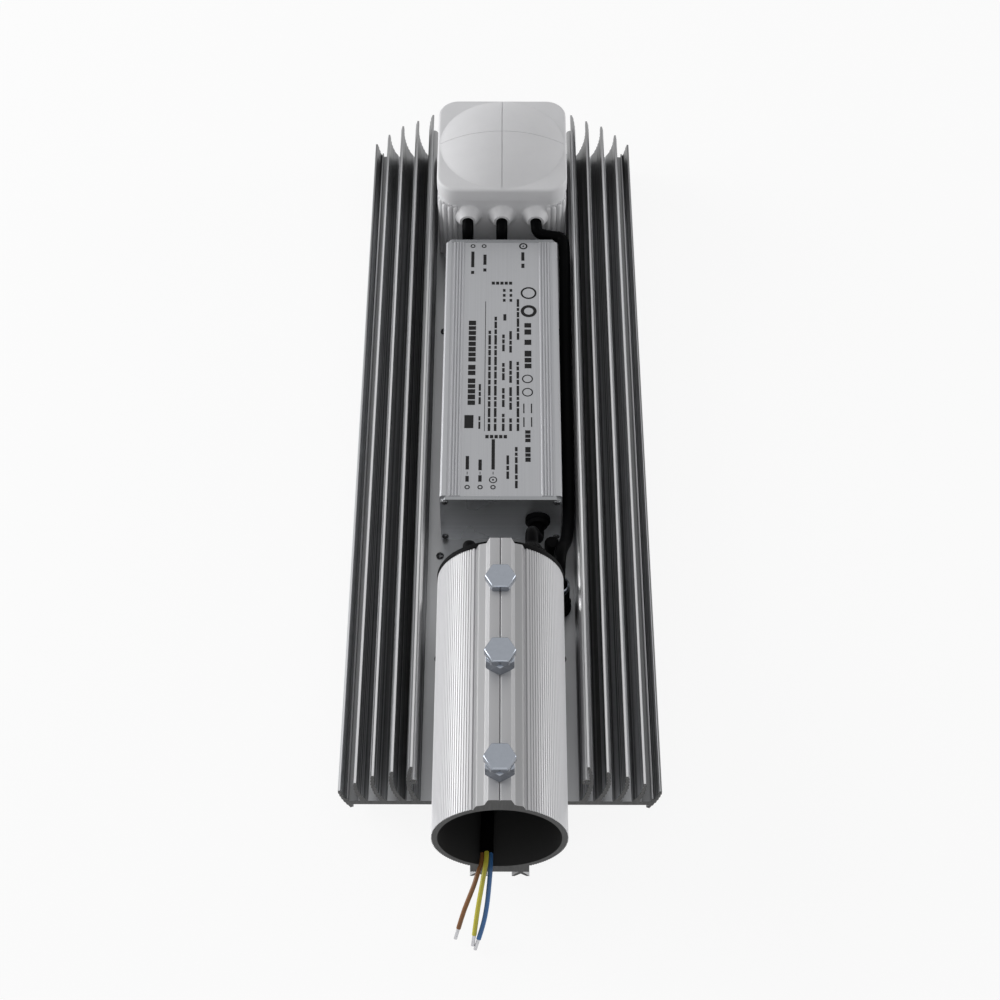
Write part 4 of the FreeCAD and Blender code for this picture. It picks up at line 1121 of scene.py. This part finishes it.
class STREETLIGHT_OT_glands(bpy.types.Operator):
    """Makes the end cap, the glands, the plugs and the driver's bushes"""

    bl_idname = "street_light.glands"
    bl_label = "Cap, glands and plugs"

    def execute(self, context):
        self.cap()
        self.cap_gland()
        self.turned_piece("rounded_cap_plug", "cap_plug", "black", "dark_plastic", True,
                          [(0, -8.0), (1.6, -8.0), (1.6, 0), (3.6, 0), (3.6, 6.4), (3.4, 7.6), (2.9, 8.4),
                           (2.2, 8.8), (0, 8.9)])
        self.turned_piece("sealing_post", "sealing_plug", "black", "dark_plastic", False,
                          [(0, 0), (4.0, 0), (4.0, 3.8), (5.6, 3.8), (6.0, 4.2), (6.0, 6.2), (5.4, 6.8),
                           (4.4, 6.8), (4.0, 7.4), (4.0, 26.6), (3.6, 27.5), (2.8, 27.8), (0, 27.8)])
        self.driver_bushes()
        self.side_gland()
        return {"FINISHED"}

    def turned_piece(self, name, node, finish_name, slot, lies, profile):
        """A piece of turned or moulded work that stands where its node is."""
        low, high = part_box(node)
        piece = spun(mm_points(profile), False, 40)
        if lies:
            set_along_y(piece)
            start = min(height for radius, height in mm_points(profile))
            piece.location = ((low.x + high.x) / 2, low.y - start, (low.z + high.z) / 2)
        else:
            piece.location = ((low.x + high.x) / 2, (low.y + high.y) / 2, low.z)
        dressed(piece, name, 32, finish_name, slot, node)

    def cap(self):
        """A disc with a rounded rim and a shallow step, and its spigot in the bore."""
        profile = [(0, -5.0), (29.6, -5.0), (30.3, -4.4), (30.3, 0), (33.7, 0), (33.9, 0.3), (33.9, 2.4),
                   (33.6, 3.0), (33.0, 3.2), (30.5, 3.2), (30.0, 2.8), (0, 2.8)]
        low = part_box("tube_end_cap")[0]
        cap = spun(mm_points(profile), False, 96)
        set_along_y(cap)
        cap.location = (0, low.y + 5.0 * MM, TUBE_AXIS)
        dressed(cap, "round_end_cap", 32, "black", "dark_plastic", "tube_end_cap")

    def cap_gland(self):
        """A fluted flange, a short ribbed cone and the soft lip round the cable."""
        low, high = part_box("cap_gland")
        base = fluted(7.9 * MM, 0.5 * MM, 12, -0.2 * MM, 2.2 * MM)
        dome = fluted(7.4 * MM, 0.35 * MM, 20, 2.1 * MM, 6.2 * MM, 0.66)
        lip = spun(mm_points([(3.55, 5.8), (4.8, 5.8), (4.7, 6.6), (4.3, 7.2), (3.55, 7.4)]), True, 40)
        stem = spun(mm_points([(0, -8.0), (4.8, -8.0), (4.8, 0), (0, 0)]), False, 32)
        gland = joined([base, dome, lip, stem])
        set_along_y(gland)
        gland.location = ((low.x + high.x) / 2, low.y + 8.0 * MM, (low.z + high.z) / 2)
        dressed(gland, "knurled_cap_gland", 32, "black", "gland_plastic", "cap_gland")

    def driver_bushes(self):
        """The gland in the near end plate and the two small bushes in the far one."""
        near = spun(mm_points([(3.55, -2.5), (4.7, -2.5), (4.7, 0), (7.0, 0), (7.0, 2.2), (6.5, 2.7),
                               (5.9, 2.9), (5.7, 4.4), (5.2, 5.0), (3.55, 5.0)]), True, 40)
        set_along_y(near, False)
        near.location = (20.7 * MM, DRIVER_LOW.y - 2.5 * MM, 31.9 * MM)
        parts = [settle(near, "bush_near")]
        for x in (-21.0 * MM, 0.0):
            far = spun(mm_points([(3.55, -2.5), (4.7, -2.5), (4.7, 0), (5.9, 0), (5.8, 1.4), (5.3, 2.0),
                                  (3.55, 2.0)]), True, 32)
            set_along_y(far)
            far.location = (x, DRIVER_HIGH.y + 2.5 * MM, 31.9 * MM)
            parts.append(settle(far, "bush_far"))
        dressed(joined(parts), "rounded_bushes", 32, "black", "dark_plastic", "driver_bushes")

    def side_gland(self):
        """A knurled body that stands on the plate, with a bright nut on top."""
        low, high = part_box("side_gland")
        foot = spun(mm_points([(3.55, 0), (5.6, 0), (5.6, 3.8), (7.3, 3.8), (7.6, 4.1), (7.6, 5.4),
                               (7.2, 5.8), (3.55, 5.8)]), True, 40)
        body = fluted(7.4 * MM, 0.5 * MM, 14, 5.8 * MM, 10.8 * MM)
        waist = fluted(6.4 * MM, 0.45 * MM, 18, 10.8 * MM, high.z - low.z)
        gland = joined([foot, body, waist])
        gland.location = ((low.x + high.x) / 2, (low.y + high.y) / 2, low.z)
        dressed(gland, "knurled_side_gland", 32, "black", "gland_plastic", "side_gland")
        low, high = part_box("side_gland_nut")
        nut = spun(mm_points([(3.55, 0), (5.6, 0), (6.1, 0.5), (6.1, 3.3), (5.7, 4.2), (5.0, 4.5), (4.5, 4.3),
                              (4.0, 3.4), (3.55, 3.2)]), True, 40)
        nut.location = ((low.x + high.x) / 2, (low.y + high.y) / 2, low.z)
        dressed(nut, "bright_gland_nut", 32, "zinc", "gland_plastic", "side_gland_nut")


# Print and screws
class STREETLIGHT_OT_driver_print(bpy.types.Operator):
    """Prints plain bars and rings on the driver's top"""

    bl_idname = "street_light.driver_print"
    bl_label = "Driver print"

    def execute(self, context):
        leave_edit_mode()
        level = DRIVER_HIGH.z - 0.5 * MM
        self.level = level - 0.01 * MM
        bpy.ops.mesh.primitive_plane_add(size=0.35 * MM, location=(-9.5 * MM, 96.0 * MM, self.level))
        sheet = settle(bpy.context.active_object, "driver_print")
        bpy.ops.object.mode_set(mode="EDIT")
        self.bar(-9.5, -2.5, 96.0, 0.35)
        self.bold_title()
        self.small_print()
        self.marks()
        bpy.ops.mesh.select_all(action="SELECT")
        height = sizes().print_height + 0.01 * MM
        bpy.ops.mesh.extrude_region_move(TRANSFORM_OT_translate={"value": (0, 0, height)})
        settle(sheet, "driver_print")
        clean_up(sheet, 0.000001)
        put_on(sheet, "ink", "driver_metal")
        return {"FINISHED"}

    def bar(self, x, start, end, width):
        """A bar along the driver; places and sizes in millimetres."""
        place = (x * MM, (start + end) / 2 * MM, self.level)
        bpy.ops.mesh.primitive_plane_add(size=width * MM, location=place)
        bpy.ops.transform.resize(value=(1, abs(end - start) / width, 1), center_override=place)

    def ring(self, x, y, radius, line, dot=False):
        """A ring, and a dot in its middle where asked for."""
        place = (x * MM, y * MM, self.level)
        bpy.ops.mesh.primitive_circle_add(vertices=28, radius=radius * MM, fill_type="NGON", location=place)
        bpy.ops.mesh.inset(thickness=line * MM)
        bpy.ops.mesh.delete(type="FACE")
        if dot:
            bpy.ops.mesh.primitive_circle_add(vertices=16, radius=0.6 * MM, fill_type="NGON", location=place)

    def words(self, x, start, end, width):
        """A line of small print as bars of uneven length."""
        runs = (5.2, 3.1, 6.6, 4.2, 2.3, 7.4, 3.6)
        place, number = start, 0
        while place < end - 1.5:
            stop = min(end, place + runs[number % len(runs)])
            self.bar(x, place, stop, width)
            place, number = stop + 0.9, number + 1

    def bold_title(self):
        """A row of broad short bars where the driver carries its largest print."""
        place = 16.5
        for number in range(15):
            run = (3.3, 3.6, 3.2, 2.9, 3.5)[number % 5]
            self.bar(-17.2, place, place + run, 4.3)
            place += run + (2.6 if number in (4, 6) else 0.8)
        self.bar(-18.4, -0.5, 9.0, 5.2)
        self.words(-12.4, -1.0, 8.5, 1.1)
        self.words(-12.4, 17.0, 32.0, 1.3)

    def small_print(self):
        """The narrow columns of the driver's print."""
        for x, start, end in ((-6.9, -2.5, 73.0), (-3.4, -2.5, 84.0), (9.6, -2.5, 49.0), (9.8, 66.0, 98.0),
                              (1.2, -2.5, 10.0), (1.2, 15.0, 29.0), (1.2, 35.0, 48.0), (1.2, 57.0, 70.0),
                              (5.4, -2.5, 9.0), (5.4, 13.0, 30.0), (5.4, 33.0, 52.0), (5.4, 56.0, 74.0),
                              (3.8, -36.5, -20.0), (8.6, -43.0, -14.0)):
            self.words(x, start, end, 1.5)
        for x in (1.6, 5.6):
            for start in (96.0, 100.0, 104.0):
                self.bar(x, start, start + 2.2, 1.6)
        self.bar(2.0, 81.0, 86.0, 1.8)
        for x, start, end in ((-17.6, 124.0, 137.0), (-17.6, 118.5, 121.0), (-10.2, 126.0, 134.5),
                              (-10.2, 120.5, 123.0), (12.9, 129.5, 136.5), (12.9, 123.5, 127.0),
                              (-18.9, -30.0, -20.5), (-18.9, -38.5, -34.5), (-11.7, -30.5, -23.0),
                              (-11.7, -38.5, -34.0), (-4.4, -30.0, -8.5)):
            self.bar(x, start, end, 1.9)
        for x in (-18.9, -11.7, -4.4):
            self.bar(x, -33.5, -31.5, 0.4)

    def marks(self):
        """Terminal rings, and plain shapes down the right side."""
        for x, y in ((-17.6, 141.6), (-10.8, 141.6), (-18.8, -42.3), (-11.6, -42.3), (-4.4, -42.3)):
            self.ring(x, y, 1.5, 0.65)
        self.ring(-4.4, -37.2, 2.3, 0.6, dot=True)
        self.ring(13.2, 141.6, 2.6, 0.95, dot=True)
        for y in (-6.6, 111.0):
            for number in range(5):
                self.bar(-8.0 + 2.6 * number + (3.0 if y > 0 else 0.0), y - 1.2, y + 1.2, 1.9)
        self.ring(16.2, 103.0, 4.8, 1.1)
        self.ring(16.2, 88.5, 4.8, 2.0)
        for start, end in ((70.0, 74.0), (75.5, 79.0), (62.0, 66.0), (44.0, 47.5), (48.5, 52.0),
                           (53.0, 57.5)):
            self.bar(15.6, start, end, 4.0)
        for y in (36.0, 26.0):
            self.ring(15.2, y, 3.2, 0.7)
        for y in (14.0, 4.0):
            self.bar(13.0, y - 3.5, y + 3.5, 0.7)
            self.bar(17.4, y - 3.5, y + 3.5, 0.7)
        for start, end in ((-10.5, -8.0), (-7.4, -5.0), (-4.4, -2.0), (-24.5, -21.5), (-20.9, -18.5),
                           (-17.9, -14.0)):
            self.bar(15.2, start, end, 3.0)


class STREETLIGHT_OT_screws(bpy.types.Operator):
    """Sets the small screws of the plate and of the driver's end plates"""

    bl_idname = "street_light.screws"
    bl_label = "Small screws"

    def execute(self, context):
        rows = ((33.8, -131.0), (34.3, -63.0), (35.4, 105.0))
        places = [(side * x * MM, y * MM, PLATE_TOP) for x, y in rows for side in (-1, 1)]
        screw_set("plate_screws", pan_screw(2.2 * MM, 1.7 * MM), places, "dark_screw", "sink_metal")
        faces = (("near_face_screws", False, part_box("driver_input_plate")[0].y, ((31.5, 15.0), (31.2, 47.9))),
                 ("far_face_screws", True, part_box("driver_output_plate")[1].y, ((31.0, 16.9), (31.0, 46.0))))
        for name, towards_far_end, face, corners in faces:
            screw = pan_screw(1.9 * MM, 1.3 * MM)
            set_along_y(screw, towards_far_end)
            settle(screw, "face_screw")
            places = [(side * x * MM, face, z * MM) for x, z in corners for side in (-1, 1)]
            screw_set(name, screw, places, "dark_screw", "plate_metal")
        return {"FINISHED"}


# Light modules
LENS_ACROSS = 40.0 * MM
LENS_ALONG = 33.0 * MM
LENS_RADIUS = 9.0 * MM
LENS_RISE = 4.4 * MM


class STREETLIGHT_OT_light_modules(bpy.types.Operator):
    """Makes the clear lens plates under the heat sink and their screws"""

    bl_idname = "street_light.light_modules"
    bl_label = "Light modules"

    def execute(self, context):
        first_low, first_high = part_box("lens_plate_1")
        middle = (first_low + first_high) / 2
        size = first_high - first_low
        plate = self.plate(size, first_high.z, middle)
        domes = []
        for column in (-1, 0, 1):
            for row in (-1.5, -0.5, 0.5, 1.5):
                dome = self.dome()
                dome.location = (column * LENS_ACROSS, middle.y + row * LENS_ALONG, first_low.z)
                domes.append(settle(dome, "lens_dome"))
        apply_modifier(plate, "BOOLEAN", "lenses", operation="UNION", solver="EXACT", object=joined(domes))
        removed(domes[0])
        screw = pan_screw(2.2 * MM, 1.2 * MM)
        screw.rotation_euler = (math.pi, 0, 0)
        settle(screw, "module_screw")
        spots = [(side * (size.x / 2 - 3.4 * MM), middle.y + share * size.y, 4.2 * MM)
                 for side in (-1, 1) for share in (-0.44, -0.15, 0.15, 0.44)]
        screws = [copied(screw, spot, "module_screws_1") for spot in spots]
        removed(screw)
        first_screws = settle(joined(screws), "module_screws_1")
        smooth(first_screws, 35)
        for number in (1, 2, 3):
            offset = (0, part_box("lens_plate_%d" % number)[0].y - first_low.y, 0)
            lens = copied(plate, offset, "moulded_lens_plate_%d" % number)
            smooth(lens, 30)
            put_on(lens, "lens", "lens_clear", "lens_plate_%d" % number)
            if number > 1:
                put_on(copied(first_screws, offset, "module_screws_%d" % number), "zinc", "bolt_steel")
        put_on(first_screws, "zinc", "bolt_steel")
        removed(plate)
        return {"FINISHED"}

    def plate(self, size, top, middle):
        """A flat plate with round corners, hollowed from above for the board and the chips."""
        leave_edit_mode()
        thick = top - 4.0 * MM
        bpy.ops.mesh.primitive_cube_add(
            size=1, location=(0, middle.y, top - thick / 2), scale=(size.x, size.y, thick))
        plate = settle(bpy.context.active_object, "lens_plate_blank")
        pick(plate, "edges", lambda edge: upright(edge, thick / 2))
        bpy.ops.mesh.bevel(offset=6.0 * MM, segments=6)
        pick(plate, "faces", lambda f: f.normal.z > 0.9)
        bpy.ops.mesh.inset(thickness=5.8 * MM)
        bpy.ops.mesh.extrude_region_move(TRANSFORM_OT_translate={"value": (0, 0, -2.5 * MM)})
        leave_edit_mode()
        apply_modifier(plate, "BEVEL", "edges", width=0.0005, segments=2, limit_method="ANGLE",
                       angle_limit=math.radians(60))
        return plate

    def dome(self):
        """One lens that bulges downwards, from its crown at the lowest point up into the plate."""
        points = [(0.0, 0.0)]
        for part in range(1, 11):
            angle = math.pi / 2 * part / 10
            points.append((LENS_RADIUS * math.sin(angle), LENS_RISE * (1 - math.cos(angle))))
        points.append((0.0, LENS_RISE))
        return spun(points, False, 32)


class STREETLIGHT_PT_pieces(bpy.types.Panel):
    """Lists the sizes, the colours and the operators"""

    bl_idname = "STREETLIGHT_PT_pieces"
    bl_label = "Street light head"
    bl_space_type = "VIEW_3D"
    bl_region_type = "UI"
    bl_category = "Street light"

    def draw(self, context):
        for group in (sizes(), colours()):
            column = self.layout.column(align=True)
            for name in group.bl_rna.properties.keys():
                if name not in ("rna_type", "name"):
                    column.prop(group, name)
        for operator in OPERATORS:
            self.layout.operator(operator.bl_idname)


OPERATORS = (
    STREETLIGHT_OT_stage,
    STREETLIGHT_OT_lead,
    STREETLIGHT_OT_cables,
    STREETLIGHT_OT_finishes,
    STREETLIGHT_OT_pole_tube,
    STREETLIGHT_OT_clamp_bolts,
    STREETLIGHT_OT_control_box,
    STREETLIGHT_OT_glands,
    STREETLIGHT_OT_driver_print,
    STREETLIGHT_OT_screws,
    STREETLIGHT_OT_light_modules,
)


def register():
    for group in (StreetLightSizes, StreetLightColours):
        bpy.utils.register_class(group)
    bpy.types.Scene.street_light_sizes = PointerProperty(type=StreetLightSizes)
    bpy.types.Scene.street_light_colours = PointerProperty(type=StreetLightColours)
    for operator in OPERATORS:
        bpy.utils.register_class(operator)
    bpy.utils.register_class(STREETLIGHT_PT_pieces)


def unregister():
    bpy.utils.unregister_class(STREETLIGHT_PT_pieces)
    for operator in reversed(OPERATORS):
        bpy.utils.unregister_class(operator)
    del bpy.types.Scene.street_light_colours
    del bpy.types.Scene.street_light_sizes
    for group in (StreetLightColours, StreetLightSizes):
        bpy.utils.unregister_class(group)


def main():
    register()
    bpy.ops.street_light.stage()
    bpy.ops.street_light.lead()
    bpy.ops.street_light.cables()
    bpy.ops.street_light.finishes()
    bpy.ops.street_light.pole_tube()
    bpy.ops.street_light.clamp_bolts()
    bpy.ops.street_light.control_box()
    bpy.ops.street_light.glands()
    bpy.ops.street_light.driver_print()
    bpy.ops.street_light.screws()
    bpy.ops.street_light.light_modules()


if __name__ == "__main__":
    main()
